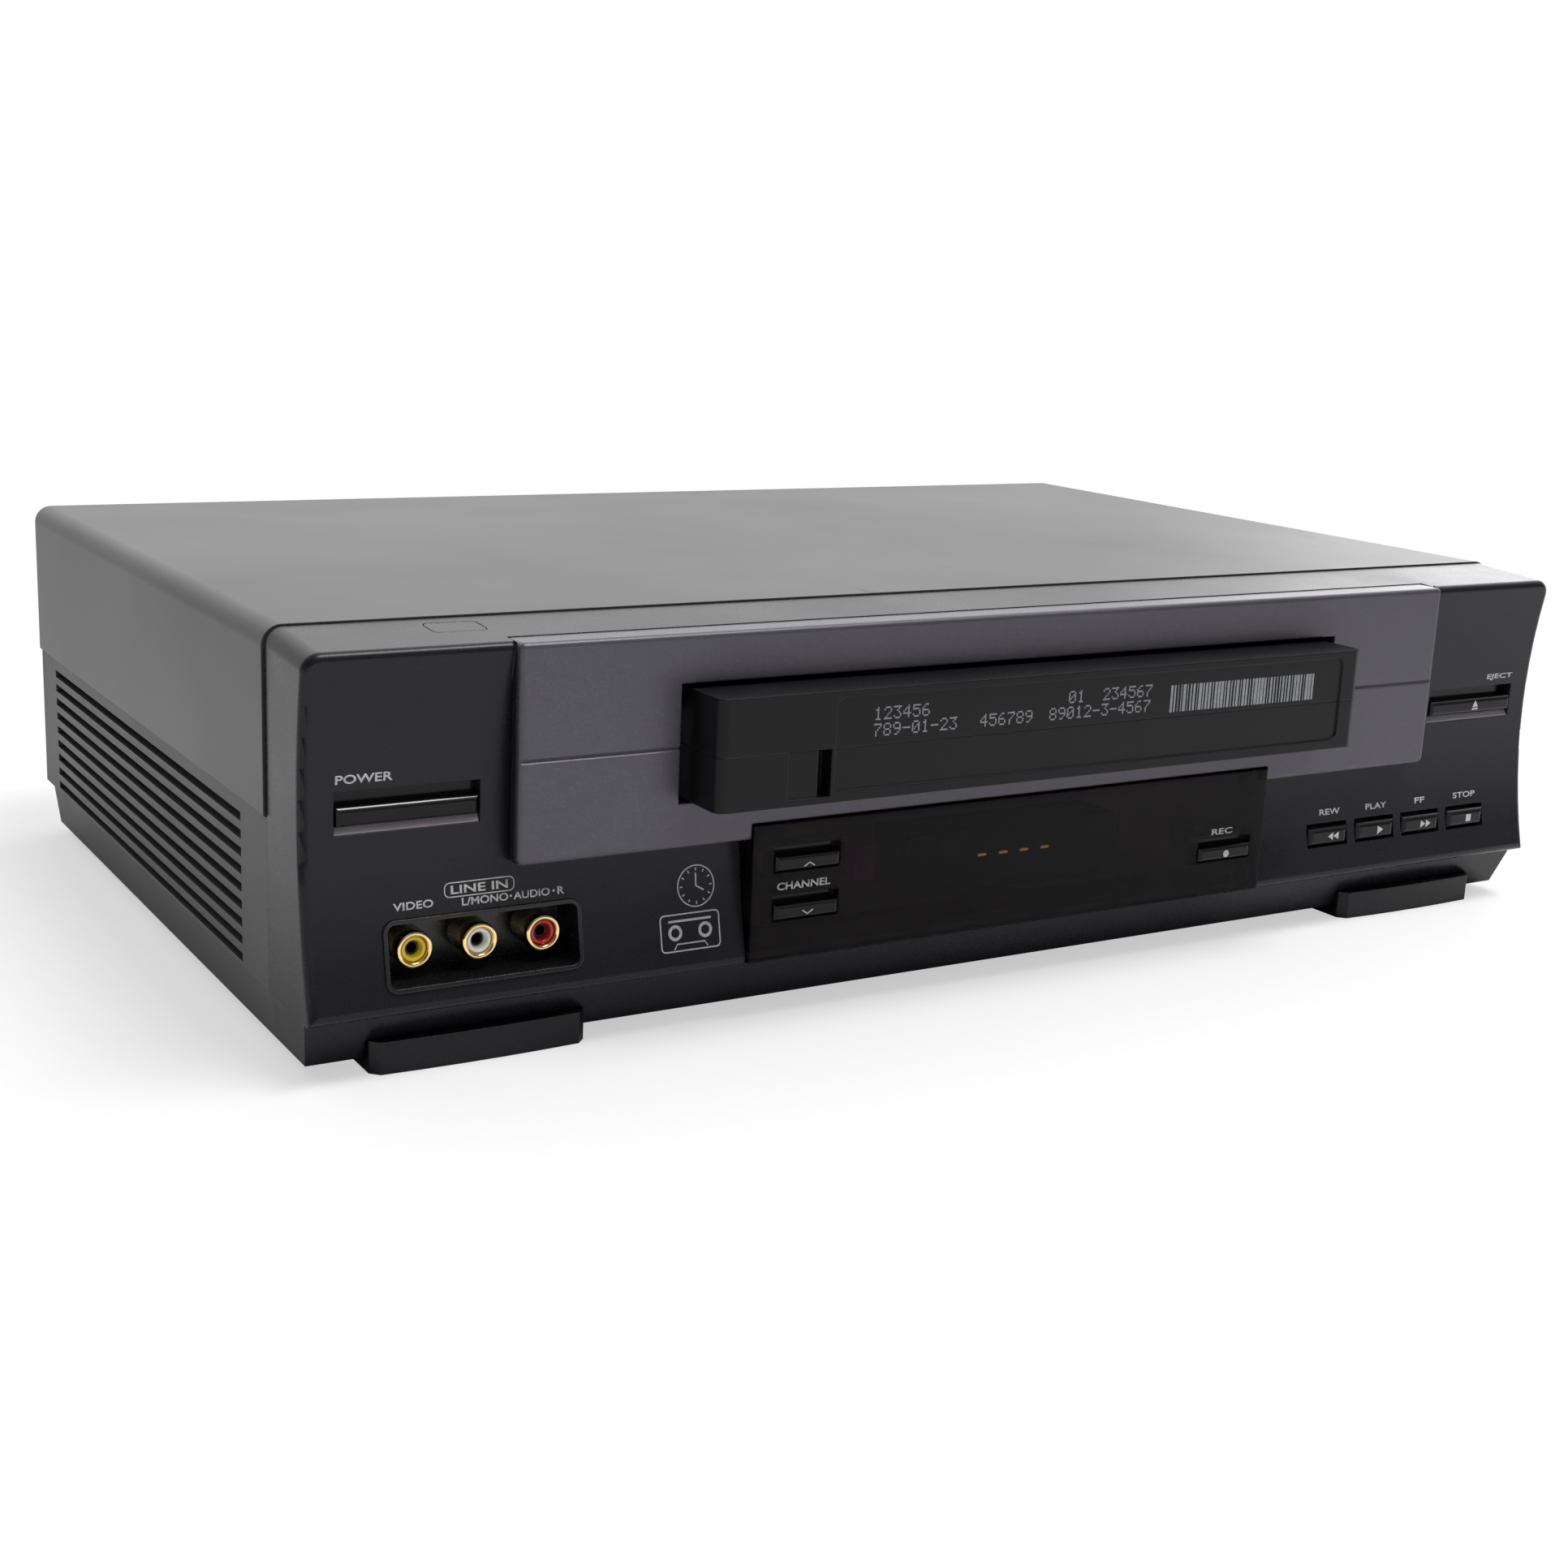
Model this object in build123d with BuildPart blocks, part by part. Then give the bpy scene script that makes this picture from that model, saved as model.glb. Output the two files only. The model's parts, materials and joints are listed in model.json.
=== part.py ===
"""A front-loading video cassette recorder with a cassette standing in its slot.

Everything is drawn in millimetres with x to the right as the user faces the front, z up from the
floor, and y = 0 at the seam between the top cover and the front moulding, positive to the rear.
save() slides each finished piece along y so that the origin lies under the middle of the whole.
"""
from build123d import *
import math
import os

os.makedirs("parts", exist_ok=True)

# ---------------------------------------------------------------- casing: driving sizes
WIDTH = 360.0                 # across the top cover
HEIGHT = 93.0                 # floor to the top of the cover
COVER_DEPTH = 201.7           # seam to the back of the cover
COVER_T = 0.9                 # sheet steel
COVER_BEND = 4.5              # outer radius of the cover's long bends
COVER_EDGE_Z = 52.6           # lower edge of the cover's sides
WALL = 2.4                    # moulded wall
SEAM_GAP = 0.4                # shadow gap round the cover
SIDE_INSET = 0.6              # mouldings lie this far inside the cover's sides
BODY_Z = 13.9                 # lower edge of the mouldings' outer walls
SKIRT_Z = 2.7                 # lower edge of the skirt
SKIRT_TOP_INSET = 1.0
SKIRT_LOW_INSET = 2.6
SKIRT_REAR_IN = 5.8           # rear of the skirt
PLATE_T = 1.2                 # steel plates inside

# ---------------------------------------------------------------- front face: a shallow hollow
FRONT_DEPTH = 20.2            # seam to the deepest line of the hollow
FRONT_MID_RISE = 4.1          # deepest line above the middle of the face
FRONT_RADIUS = 160.0
FRONT_TOP_DROP = 2.1          # cover's top down to the front top edge
FRONT_ROUND = 1.8             # top and end edges of the face
SKIRT_OUT = 1.2               # front of the skirt at its top
SKIRT_SLOPE = 4.6             # and how far its lower edge is behind
MARK_IN = 39.0                # outlined touch mark on top of the moulding
MARK_Y = -8.2
MARK_W = 12.6
MARK_D = 8.4
MARK_CORNER = 1.8
MARK_LINE = 0.4
MARK_DEPTH = 1.0              # its floor under the moulding's highest line

# ---------------------------------------------------------------- raised grey panel and window
PANEL_IN = 46.1
PANEL_LAP = 3.6               # window's top above the panel's lower edge
PANEL_OUT = 5.8               # panel's face before the hollow's deepest line
PANEL_T = 1.8
PANEL_LIP = 0.2               # panel's ledge over the front top edge
LEDGE_IN = 1.8                # slot line behind the panel's top
PANEL_CORNER = 1.8
PANEL_EDGE = 1.2
GROOVE_LIFT = 12.0            # groove above the cassette's underside
GROOVE = 0.8
BOSS_DRAFT = 10.0
SLOT_SIDE = 2.5               # cassette slot
SLOT_UNDER = 0.5              # slot's room under the cassette
SLOT_OVER = 1.3               # and over it
WINDOW_HALF = 76.8
WINDOW_SILL = 0.6             # window above the mouldings' lower edge
WINDOW_DROP = 6.5             # slot down to the window
WINDOW_OUT = 0.6              # window before the panel
WINDOW_T = 2.0
WINDOW_DEPTH = 7.1            # window's face to the shoulder it stands on
WINDOW_ROUND = 0.4
FIT = 0.3                     # gap between a moulding and its opening

# ---------------------------------------------------------------- buttons
KEY_TRAVEL = 1.0
KEY_GAP = 0.3
KEY_FLANGE_T = 1.2
KEY_PROUD = 0.7               # face of a key before the surface round it
KEY_SILL = 0.35               # gap under a key
KEY_CAP_SHARE = 0.66          # a key fills this share of its opening's height
KEY_ROUND_SHARE = 0.3         # front edges, as a share of the key's height
KEY_STEM_R = 1.8
KEY_FLANGE_LIP = 0.9          # flange larger than its opening all round
SWITCH = 6.0
SWITCH_H = 3.3
BOARD_T = 1.6
BOARD_Y = -8.0                # front of the upright key and display board
BIG_KEY_IN = 23.9             # power on the left, eject on the right
BIG_KEY_W = 32.0
BIG_KEY_H = 9.2
BIG_KEY_Z = 52.6
BIG_KEY_SILL = 1.8            # a painted sill shows under a long key
DECK_KEY_IN = 76.3            # first of the four tape keys
DECK_KEY_PITCH = 17.4
DECK_KEY_W = 14.6
DECK_KEY_H = 6.4
DECK_KEY_Z = 22.4
DECK_KEY_SHARE = 0.84         # share of its opening's height that a tape key fills
CHANNEL_KEY_IN = 14.4
RECORD_KEY_IN = 13.0
WINDOW_KEY_W = 17.8
WINDOW_KEY_H = 6.2
UP_KEY_SHARE = 0.7323         # middle of the key, as a share of the window's height
DOWN_KEY_SHARE = 0.3785

# ---------------------------------------------------------------- front and rear sockets
JACK_IN = 40.2                # middle of the three front sockets
JACK_Z = 26.3
JACK_PITCH = 14.8
JACK_BAY_W = 45.2
JACK_BAY_H = 15.0
JACK_BAY_CORNER = 2.6
JACK_BAY_DEPTH = 11.0
JACK_RIM = 0.9
JACK_OUT = 0.4                # mouths of the front sockets
SHELL_R = 4.15
INSERT_R = 3.1
PIN_HOLE_R = 1.6
TAIL_R = 2.4
SHELL_BACK = 1.0
INSERT_IN = 0.5
PIN_HOLE_DEPTH = 6.0
REAR_T = 2.0
REAR_JACK_OUT = 9.0
REAR_JACK_X = 20.0
REAR_JACK_Z = 33.0
REAR_JACK_ROW = 16.0

# ---------------------------------------------------------------- feet
FOOT_IN_EDGE = 63.5
FOOT_OUT_EDGE = 17.5
FOOT_TOP_Z = 7.2
FOOT_BACK_Y = 12.0
FOOT_TAPER = 2.0
REAR_FOOT_SIDE = 42.0
REAR_FOOT_IN = 28.8
REAR_FOOT_R = 10.0

# ---------------------------------------------------------------- cassette
TAPE_W = 187.0
TAPE_D = 102.5
TAPE_H = 25.0
TAPE_DROP = 14.0              # cover's top down to the cassette's
TAPE_FRONT = 38.6             # seam to its spine
TAPE_WALL = 1.6
TAPE_CORNER = 2.5
TAPE_SPLIT = 12.2
REEL_SHIFT = 0.25             # reels outside the middle of their half
REEL_SET_BACK = 0.45          # and behind it
HUB_R = 13.0
FLANGE_GAP = 0.5              # flange to the chamber's back
REEL_ROOM = 4.2               # half the room between the two reels
PACK_IN = 3.5
TAPE_WIDTH = 12.7
LID_PIVOT_IN = 4.0            # shell's shoulder to the lid's pins
LID_PIVOT_DROP = 3.5          # cassette's top down to the pins
LID_T = 1.5
LID_PIN_R = 1.5

# ---------------------------------------------------------------- chassis, rear panel and electrics
UPPER_WALL_Z = 62.0           # chassis sides reach this high inside the cover
LOUVRES = 9
LOUVRE_PITCH = 4.0
LOUVRE_H = 2.1
LOUVRE_LOW_Z = 15.0
LOUVRE_FRONT_Y = 18.0
LOUVRE_REAR_IN = 14.8
COVER_LIP_H = 11.0            # turned-down rear edge of the cover
SCREW_R = 1.5
SCREW_HEAD_R = 3.2
SCREW_HEAD_H = 1.8
COVER_SCREW_SIDE = 30.0
COVER_SCREW_DROP = 6.5
PLATE_SIDE = 10.0             # bottom plate
PLATE_FRONT_Y = 4.0
PLATE_REAR_IN = 10.8
PLATE_SCREW_SIDE = 22.0
PLATE_SLOTS = 8
MAIN_SIDE = 10.0              # main board
MAIN_FRONT_Y = 66.0
MAIN_REAR_IN = 2.8
MAIN_Z = 18.6
PAD_SIDE = 16.0
PAD_IN = 8.0
TUNER_W = 50.0
TUNER_D = 34.0
TUNER_H = 30.0
AERIAL_PITCH = 26.0
AERIAL_Z = 36.0
AERIAL_R = 4.7
AERIAL_OUT = 8.5
GLAND_SIDE = 30.0
GLAND_Z = 24.0
TRANSFORMER = (40.0, 34.0, 32.0)
TRANSFORMER_IN = 50.8
CAPACITOR_R = 7.5
CAPACITOR_SPREAD = 9.0
CAPACITOR_IN = 12.0
CAPACITOR_H = 26.0
HEATSINK_GAP = 6.5
HEATSINK_W = 3.0
VENT_COUNT = 10
VENT_PITCH = 7.0
VENT_X = -60.0
VENT_LENGTH = 18.0
VENT_DROP = 17.0
VENT_W = 3.0

# ---------------------------------------------------------------- tape deck
DECK_Z = 26.0
DECK_SIDE = 7.5
DECK_FRONT_Y = 3.0
DECK_REAR_IN = 12.8
POST_IN = 8.0
POST_FRONT_Y = 10.0
POST_R = 4.0
CARRIAGE_TRAVEL = 45.0
FRAME_SIDE = 5.0              # cassette to the inside of the carriage frame
FRAME_DROP = 6.0              # cover's top down to the carriage frame's
FRAME_BACK_Y = 112.0
GUIDE_LIFT = 8.0              # guide slots' middle above the cassette's underside
GUIDE_H = 4.0
LUG_GAP = 0.3
SHAFT_Y = 34.0
SHAFT_DROP = 3.4              # loading shaft under the frame's top
SHAFT_R = 1.6
PINION_R = 7.0
PINION_TEETH = 14
RUN_FIT = 0.05                # radial clearance of a running fit
DRUM_IN = 38.0
DRUM_R = 31.0
DRUM_TILT = 5.0
DRUM_LOW_H = 13.0
DRUM_TOP_H = 15.5
DRUM_GAP = 0.4
DRUM_BURY = DRUM_R / 4        # tilted drum starts so far under the deck and is cut off there
DISH_R = DRUM_R * 0.72        # dished top of the upper drum
DRUM_HUB_R = DRUM_R * 0.3
DISH_DEPTH = DRUM_TOP_H / 3
TABLE_R = 20.0
TABLE_PIN_R = 1.5
CAPSTAN_IN = 38.5             # inside the cassette's side
CAPSTAN_Y = 112.0
CAPSTAN_R = 2.0
FLYWHEEL_R = 24.0
PINCH_IN = 9.5
PINCH_Y = 100.0
PINCH_ARM = 24.0
PINCH_REST = 185.4            # direction of the arm at rest, in degrees from +x
PINCH_R = 6.0

# ---------------------------------------------------------------- small sizes of the fittings
CROSS_W = 1.0                 # slot in a screw's head
FOOT_BOW = 0.7
FOOT_PIN_Y = 8.0
FOOT_PIN_R = 5.0
JACK_RIM_OUT = 0.4
JACK_FLOOR_T = 1.6
GLAND_R = 6.0
GLAND_LIP = 1.5
GLAND_OUT = 7.0
GLAND_BORE_R = 2.8
AERIAL_PIN_R = 3.0
CHIP_H = 3.0
TRANSFORMER_LIFT = 6.0
COIL_SHARE = 0.7              # coil's half depth as a share of the core's depth
COIL_W_SHARE = 2 / 3          # and its width as a share of the core's
HEATSINK_Y0 = 96.0
HEATSINK_END = 2.2            # transformer to the heatsink
HEATSINK_PITCH = 9.0
BOARD_SIDE = 8.0
BOARD_DROP = 6.0              # cassette down to the board
BOARD_EAR_IN = 11.9
BOARD_EAR_Z = 66.0
TUBE_W = 64.0
TUBE_H = 15.0
TUBE_SHARE = 0.5077           # as a share of the window's height
TUBE_IN = 4.6
TUBE_ROUND = 1.5

# ---------------------------------------------------------------- small sizes of the deck
BEARING_R = 4.4
BEARING_H = 2.0
PIN_H = 13.0
GUIDE_IN0 = 59.5              # threading guides, at rest
GUIDE_Y0 = 98.0
GUIDE_IN1 = 47.5              # and threaded
GUIDE_Y1 = 158.0
GUIDE_SLOT = 4.4
GUIDE_BASE_R = 4.5
GUIDE_ROLLER_R = 2.8
POST_H = 20.0
FRAME_FRONT_Y = -5.0
BRIDGE_Y0 = 22.0
BRIDGE_Y1 = 46.0
SHELF_DROP = 8.0              # motor down to its shelf
LUG_FRONT_Y = 0.0
LUG_LENGTH = 8.0
LUG_SPREAD = 48.0
MOTOR_SIDE = 13.8
MOTOR_R = 9.0
MOTOR_Y0 = 50.0
MOTOR_Y1 = 78.0
MOTOR_BORE = 6.0
WORM_R = 2.8
WORM_LENGTH = 20.0
WORM_SHAFT_R = 1.2
WHEEL_R = 7.5
PINION_W = 4.0
TOOTH_GAP = 1.2
RACK_GAP = 2.0
RACK_W = 4.5
RACK_PLATE_T = 1.4
RACK_Y0 = -14.0
RACK_Y1 = 42.0
RACK_H = 4.6
DRUM_SHAFT_R = 3.0
DRUM_SHAFT_LOW = 3.0
ERASE_HEAD_IN = 35.5
ERASE_HEAD_Y = 122.0
AUDIO_HEAD_IN = 27.5
AUDIO_HEAD_Y = 128.0
HEAD_H = 18.0
HEAD_W = 9.0
HEAD_TIP = 3.0                # half the width of its upper part
HEAD_LIFT = 5.0
CARRIAGE_GAP = 0.4
CARRIAGE_Y0 = -12.0
TRAY_LAP = 8.0
TRAY_HOLE_LAP = 5.0           # holes under the hubs, longer than a hub on each side
STRAP_Y0 = 12.0
STRAP_Y1 = 40.0
FLAP_ROOM = 3.0               # tray's sides are lower than the cassette under the flap
FLAP_SIDE = 0.6
FLAP_IN = 0.8
FLAP_LENGTH = 25.5
FLAP_T = 1.5
FLAP_LIFT = 1.0
FLAP_PIN_R = 1.2
FLAP_PIN_L = 2.2
FLAP_GAP = 0.8
EAR_T = 2.2
FLYWHEEL_Z = 20.9
FLYWHEEL_H = 4.0
CAPSTAN_H = 22.0
ARM_BOSS_R = 3.5
ARM_BOSS_H = 8.0
ARM_T = 2.0
ROLLER_H = 14.0
TABLE_H = 3.0
SPINDLE_R = 4.0
SPINDLE_GAP = 9.0             # spindle's top to the tray
SPINDLE_KEYS = 3
KEY_W = 1.2                   # keys of a spindle and of a reel's bore
IDLER_Y = 26.0
IDLER_WHEEL_Y = 48.0
IDLER_R = 14.0
IDLER_H = 3.0
TENSION_IN = 9.5
TENSION_Y = 88.0
TENSION_ARM = 34.0

# ---------------------------------------------------------------- small sizes of the cassette
NECK_LENGTH = 15.9            # the shell is narrower here, between the lid's ears
NECK_IN = 1.7
SHELL_RIM_DROP = 1.9          # cassette's top down to the shell under the lid
CHAMBER_BULGE = 0.9
THREAD_IN = 16.0
THREAD_SIDE = 19.5
THREAD_GAP = 1.0
LABEL_LEFT = 29.5
LABEL_RIGHT = 6.5
LABEL_LIFT = 2.4
LABEL_DEPTH = 0.4
LABEL_CORNER = 2.2
TOP_LABEL_SIDE = 18.5
TOP_LABEL_FRONT = 16.6
TOP_LABEL_BACK = 10.0
TAB_IN = 17.5
TAB_W = 11.0
TAB_SLOT = 3.2
TAB_LIFT = 1.4
TAB_DEPTH = 4.0
LAMP_HOLE_R = 3.2
LAMP_IN = 6.4
SHELL_POST_SIDE = 6.5
SHELL_POST_FRONT = 6.6
SHELL_POST_REAR = 5.0
SHELL_POST_MID = 18.6
SHELL_POST_R = 3.2
TAPE_SCREW_R = 1.4
TAPE_SCREW_HEAD_R = 2.7
TAPE_SCREW_L = 18.0
HEAD_IN = 1.4
REEL_HOLE_R = 12.0
REEL_FOOT_R = 14.0
REEL_BORE_R = 8.5
REEL_KEYS = 6
FLANGE_T = 1.0
LOW_FLANGE_LIFT = 4.2
LEAF_IN = 2.4
LID_EAR_GAP = 0.2
LID_EAR_R = 3.4

# ---------------------------------------------------------------- worked out from the above
HALF = WIDTH / 2
BODY_HALF = HALF - SIDE_INSET
FLOOR_TOP = BODY_Z + WALL
UNDER_PLATE_Z = BODY_Z - PLATE_T
# heights, from the cover's top down to the cassette and on to the window
FASCIA_TOP_Z = HEIGHT - SEAM_GAP
FRONT_TOP_Z = HEIGHT - FRONT_TOP_DROP
MARK_FLOOR_Z = FASCIA_TOP_Z - MARK_DEPTH
FRONT_MID_Z = (BODY_Z + FRONT_TOP_Z) / 2 + FRONT_MID_RISE
PANEL_TOP_Z = FRONT_TOP_Z + PANEL_LIP
COVER_SCREW_Z = HEIGHT - COVER_SCREW_DROP
VENT_HIGH_Z = HEIGHT - VENT_DROP
VENT_LOW_Z = VENT_HIGH_Z - VENT_LENGTH
FRAME_TOP_Z = HEIGHT - FRAME_DROP
SHAFT_Z = FRAME_TOP_Z - SHAFT_DROP
TAPE_TOP_Z = HEIGHT - TAPE_DROP
TAPE_Z = TAPE_TOP_Z - TAPE_H
SLOT_LOW_Z = TAPE_Z - SLOT_UNDER
SLOT_TOP_Z = TAPE_TOP_Z + SLOT_OVER
FLAP_Z = SLOT_TOP_Z + FLAP_LIFT
FLAP_PIVOT_Z = FLAP_Z + FLAP_T
GROOVE_Z = TAPE_Z + GROOVE_LIFT
WINDOW_TOP_Z = SLOT_LOW_Z - WINDOW_DROP
WINDOW_LOW_Z = BODY_Z + WINDOW_SILL
WINDOW_H = WINDOW_TOP_Z - WINDOW_LOW_Z
PANEL_LOW_Z = WINDOW_TOP_Z - PANEL_LAP
UP_KEY_Z = WINDOW_LOW_Z + UP_KEY_SHARE * WINDOW_H - WINDOW_KEY_H / 2
DOWN_KEY_Z = WINDOW_LOW_Z + DOWN_KEY_SHARE * WINDOW_H - WINDOW_KEY_H / 2
TUBE_Z = WINDOW_LOW_Z + TUBE_SHARE * WINDOW_H
BOARD_MID_Z = TAPE_Z - BOARD_DROP
GUIDE_Z = TAPE_Z + GUIDE_LIFT
DECK_TOP = DECK_Z + PLATE_T
MAIN_TOP = MAIN_Z + BOARD_T
RACK_TOP_Z = SHAFT_Z - PINION_R - LUG_GAP
MOTOR_Z = SHAFT_Z - WHEEL_R - WORM_R - LUG_GAP
SHELF_Z = MOTOR_Z - MOTOR_R - SHELF_DROP
SPINDLE_H = TAPE_Z - FIT - PLATE_T - SPINDLE_GAP - DECK_TOP - LUG_GAP
# depths, from the face back and from the rear forward
PANEL_FACE = FRONT_DEPTH + PANEL_OUT
WINDOW_FACE = PANEL_FACE + WINDOW_OUT
WINDOW_SEAT = WINDOW_FACE - WINDOW_DEPTH
PANEL_LEDGE = FRONT_DEPTH - LEDGE_IN
SKIRT_TOP_Y = -FRONT_DEPTH - SKIRT_OUT
SKIRT_LOW_Y = SKIRT_TOP_Y + SKIRT_SLOPE
FOOT_FRONT = -SKIRT_TOP_Y
JACK_FACE = FRONT_DEPTH + JACK_OUT
TUBE_FACE = TUBE_IN - WINDOW_FACE
FLAP_Y = FLAP_IN - FRONT_DEPTH
REAR_FACE_Y = COVER_DEPTH - COVER_T
REAR_END = REAR_FACE_Y + REAR_JACK_OUT
SKIRT_BACK = REAR_FACE_Y - SKIRT_REAR_IN
LOUVRE_BACK_Y = REAR_FACE_Y - LOUVRE_REAR_IN
PLATE_BACK_Y = REAR_FACE_Y - PLATE_REAR_IN
MAIN_BACK_Y = REAR_FACE_Y - REAR_T - MAIN_REAR_IN
DECK_BACK_Y = REAR_FACE_Y - DECK_REAR_IN
POST_BACK_Y = DECK_BACK_Y - POST_IN
DRUM_Y = DECK_BACK_Y - DRUM_IN
REAR_FOOT_Y = REAR_FACE_Y - REAR_FOOT_IN
TRANSFORMER_Y = REAR_FACE_Y - TRANSFORMER_IN
HEATSINK_Y1 = TRANSFORMER_Y - COIL_SHARE * TRANSFORMER[1] - HEATSINK_END
# places across the width, from the sides in
PANEL_HALF = HALF - PANEL_IN
BIG_KEY_X = HALF - BIG_KEY_IN
DECK_KEY_X = HALF - DECK_KEY_IN
JACK_X = JACK_IN - HALF
MARK_X = MARK_IN - HALF
GLAND_X = GLAND_SIDE - HALF
FOOT_IN = HALF - FOOT_IN_EDGE
FOOT_OUT = HALF - FOOT_OUT_EDGE
REAR_FOOT_X = HALF - REAR_FOOT_SIDE
PLATE_HALF = HALF - PLATE_SIDE
PLATE_SCREW_X = HALF - PLATE_SCREW_SIDE
MAIN_HALF = HALF - MAIN_SIDE
PAD_X = HALF - PAD_SIDE
COVER_SCREW_X = HALF - COVER_SCREW_SIDE
BOARD_HALF = HALF - BOARD_SIDE
BOARD_EAR_X = PANEL_HALF - BOARD_EAR_IN
CHANNEL_KEY_X = WINDOW_HALF - CHANNEL_KEY_IN
RECORD_KEY_X = WINDOW_HALF - RECORD_KEY_IN
# and from the cassette out
TAPE_HALF = TAPE_W / 2
SLOT_HALF = TAPE_HALF + SLOT_SIDE
FLAP_HALF = SLOT_HALF - FLAP_SIDE
FRAME_HALF = TAPE_HALF + FRAME_SIDE
RACK_X0 = FRAME_HALF + PLATE_T + RACK_GAP
RACK_X1 = RACK_X0 + RACK_W
MOTOR_X = RACK_X1 + MOTOR_SIDE
DECK_HALF = FRAME_HALF + DECK_SIDE
POST_X = DECK_HALF - POST_IN
SIDE_BAY_X = (DECK_HALF + BODY_HALF - WALL) / 2
TUNER_X = SIDE_BAY_X
TRANSFORMER_X = -SIDE_BAY_X
HEATSINK_X = -DECK_HALF - HEATSINK_GAP
RACK_PITCH = 2 * math.pi * PINION_R / PINION_TEETH
# inside the cassette
TAPE_BACK_Y = TAPE_D - TAPE_FRONT
TAPE_SPLIT_Z = TAPE_Z + TAPE_SPLIT
SHELL_RIM_Z = TAPE_TOP_Z - SHELL_RIM_DROP
SHELL_NECK_HALF = TAPE_HALF - NECK_IN
SHELL_NECK_Y = TAPE_BACK_Y - NECK_LENGTH
SHELL_TOP_Y = SHELL_NECK_Y + FIT
SHELL_BACK_Y = TAPE_BACK_Y - LID_T - FIT
CHAMBER_Y = SHELL_NECK_Y - TAPE_WALL
CHAMBER_BACK_Y = SHELL_NECK_Y + CHAMBER_BULGE
THREAD_Y = CHAMBER_BACK_Y + TAPE_WALL + THREAD_GAP
THREAD_OUT = TAPE_HALF - THREAD_SIDE
LAMP_HOLE_Y = CHAMBER_Y - LAMP_IN
CARRIAGE_Y1 = SHELL_NECK_Y + TRAY_LAP
LABEL_X0 = LABEL_LEFT - TAPE_HALF
LABEL_X1 = TAPE_HALF - LABEL_RIGHT
LABEL_LOW_Z = TAPE_Z + LABEL_LIFT
LABEL_TOP_Z = TAPE_TOP_Z - TAPE_WALL
TAB_X0 = TAB_IN - TAPE_HALF
TAB_X1 = TAB_X0 + TAB_W
TAB_LOW_Z = TAPE_Z + TAB_LIFT
TOP_LABEL_HALF = TAPE_HALF - TOP_LABEL_SIDE
TOP_LABEL_Y0 = TOP_LABEL_FRONT - TAPE_FRONT
TOP_LABEL_Y1 = SHELL_NECK_Y - TOP_LABEL_BACK
LID_PIVOT_Y = SHELL_NECK_Y + LID_PIVOT_IN
LID_PIVOT_Z = TAPE_TOP_Z - LID_PIVOT_DROP
LID_EAR_X = SHELL_NECK_HALF + LID_EAR_GAP
LEAF_Y = LID_PIVOT_Y + LEAF_IN
REEL_X = (TAPE_HALF - TAPE_WALL) / 2 + REEL_SHIFT
REEL_BACK = (TAPE_WALL + TAPE_FRONT + CHAMBER_BACK_Y) / 2 + REEL_SET_BACK
REEL_Y = REEL_BACK - TAPE_FRONT
REEL_LOAD_Y = REEL_Y + CARRIAGE_TRAVEL
FLANGE_R = min(CHAMBER_BACK_Y - REEL_Y - FLANGE_GAP, REEL_X - REEL_ROOM)
TAPE_PACK_R = FLANGE_R - PACK_IN
LOW_FLANGE_Z = TAPE_Z + LOW_FLANGE_LIFT
TOP_FLANGE_Z = LOW_FLANGE_Z + FLANGE_T + TAPE_WIDTH + 2 * LUG_GAP
SHELL_POSTS = [(0, SHELL_POST_MID - TAPE_FRONT)] + [
    (side * (TAPE_HALF - SHELL_POST_SIDE), y) for side in (-1, 1)
    for y in (SHELL_POST_FRONT - TAPE_FRONT, SHELL_NECK_Y - SHELL_POST_REAR)
]
CAPACITORS = [
    (-SIDE_BAY_X - CAPACITOR_SPREAD, MAIN_FRONT_Y + CAPACITOR_IN),
    (-SIDE_BAY_X + CAPACITOR_SPREAD, MAIN_FRONT_Y + CAPACITOR_IN),
    (-SIDE_BAY_X - CAPACITOR_SPREAD, MAIN_FRONT_Y + CAPACITOR_IN + 2 * CAPACITOR_SPREAD),
]
CAPSTAN_X = TAPE_HALF - CAPSTAN_IN
PINCH_X = TAPE_HALF - PINCH_IN
TENSION_X = TENSION_IN - TAPE_HALF
GUIDE_X0 = TAPE_HALF - GUIDE_IN0
GUIDE_X1 = TAPE_HALF - GUIDE_IN1
HEADS = [(ERASE_HEAD_IN - TAPE_HALF, ERASE_HEAD_Y), (TAPE_HALF - AUDIO_HEAD_IN, AUDIO_HEAD_Y)]
GUIDE_LENGTH = math.hypot(GUIDE_X1 - GUIDE_X0, GUIDE_Y1 - GUIDE_Y0)
GUIDE_ANGLE = math.degrees(math.atan2(GUIDE_Y1 - GUIDE_Y0, GUIDE_X1 - GUIDE_X0))
FIXED_PINS = [
    (-REEL_X, REEL_LOAD_Y), (REEL_X, REEL_LOAD_Y), (PINCH_X, PINCH_Y), (0, IDLER_Y), (TENSION_X, TENSION_Y)
]
PLATE_SCREWS = [
    (side * PLATE_SCREW_X, y) for side in (-1, 1)
    for y in (FOOT_BACK_Y + 3 * SCREW_HEAD_R, PLATE_BACK_Y - 2 * SCREW_HEAD_R)
]
MIDDLE_Y = (REAR_END - TAPE_FRONT) / 2


def front_y(z):
    """The hollow front face at height z."""
    return -FRONT_DEPTH - FRONT_RADIUS + math.sqrt(FRONT_RADIUS**2 - (z - FRONT_MID_Z) ** 2)


def save(piece, label):
    """Slide the piece to the row's origin, name it and write it."""
    piece.part = piece.part.moved(Location((0, -MIDDLE_Y, 0)))
    piece.part.label = label
    export_step(piece.part, f"parts/{label}.step")


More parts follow.
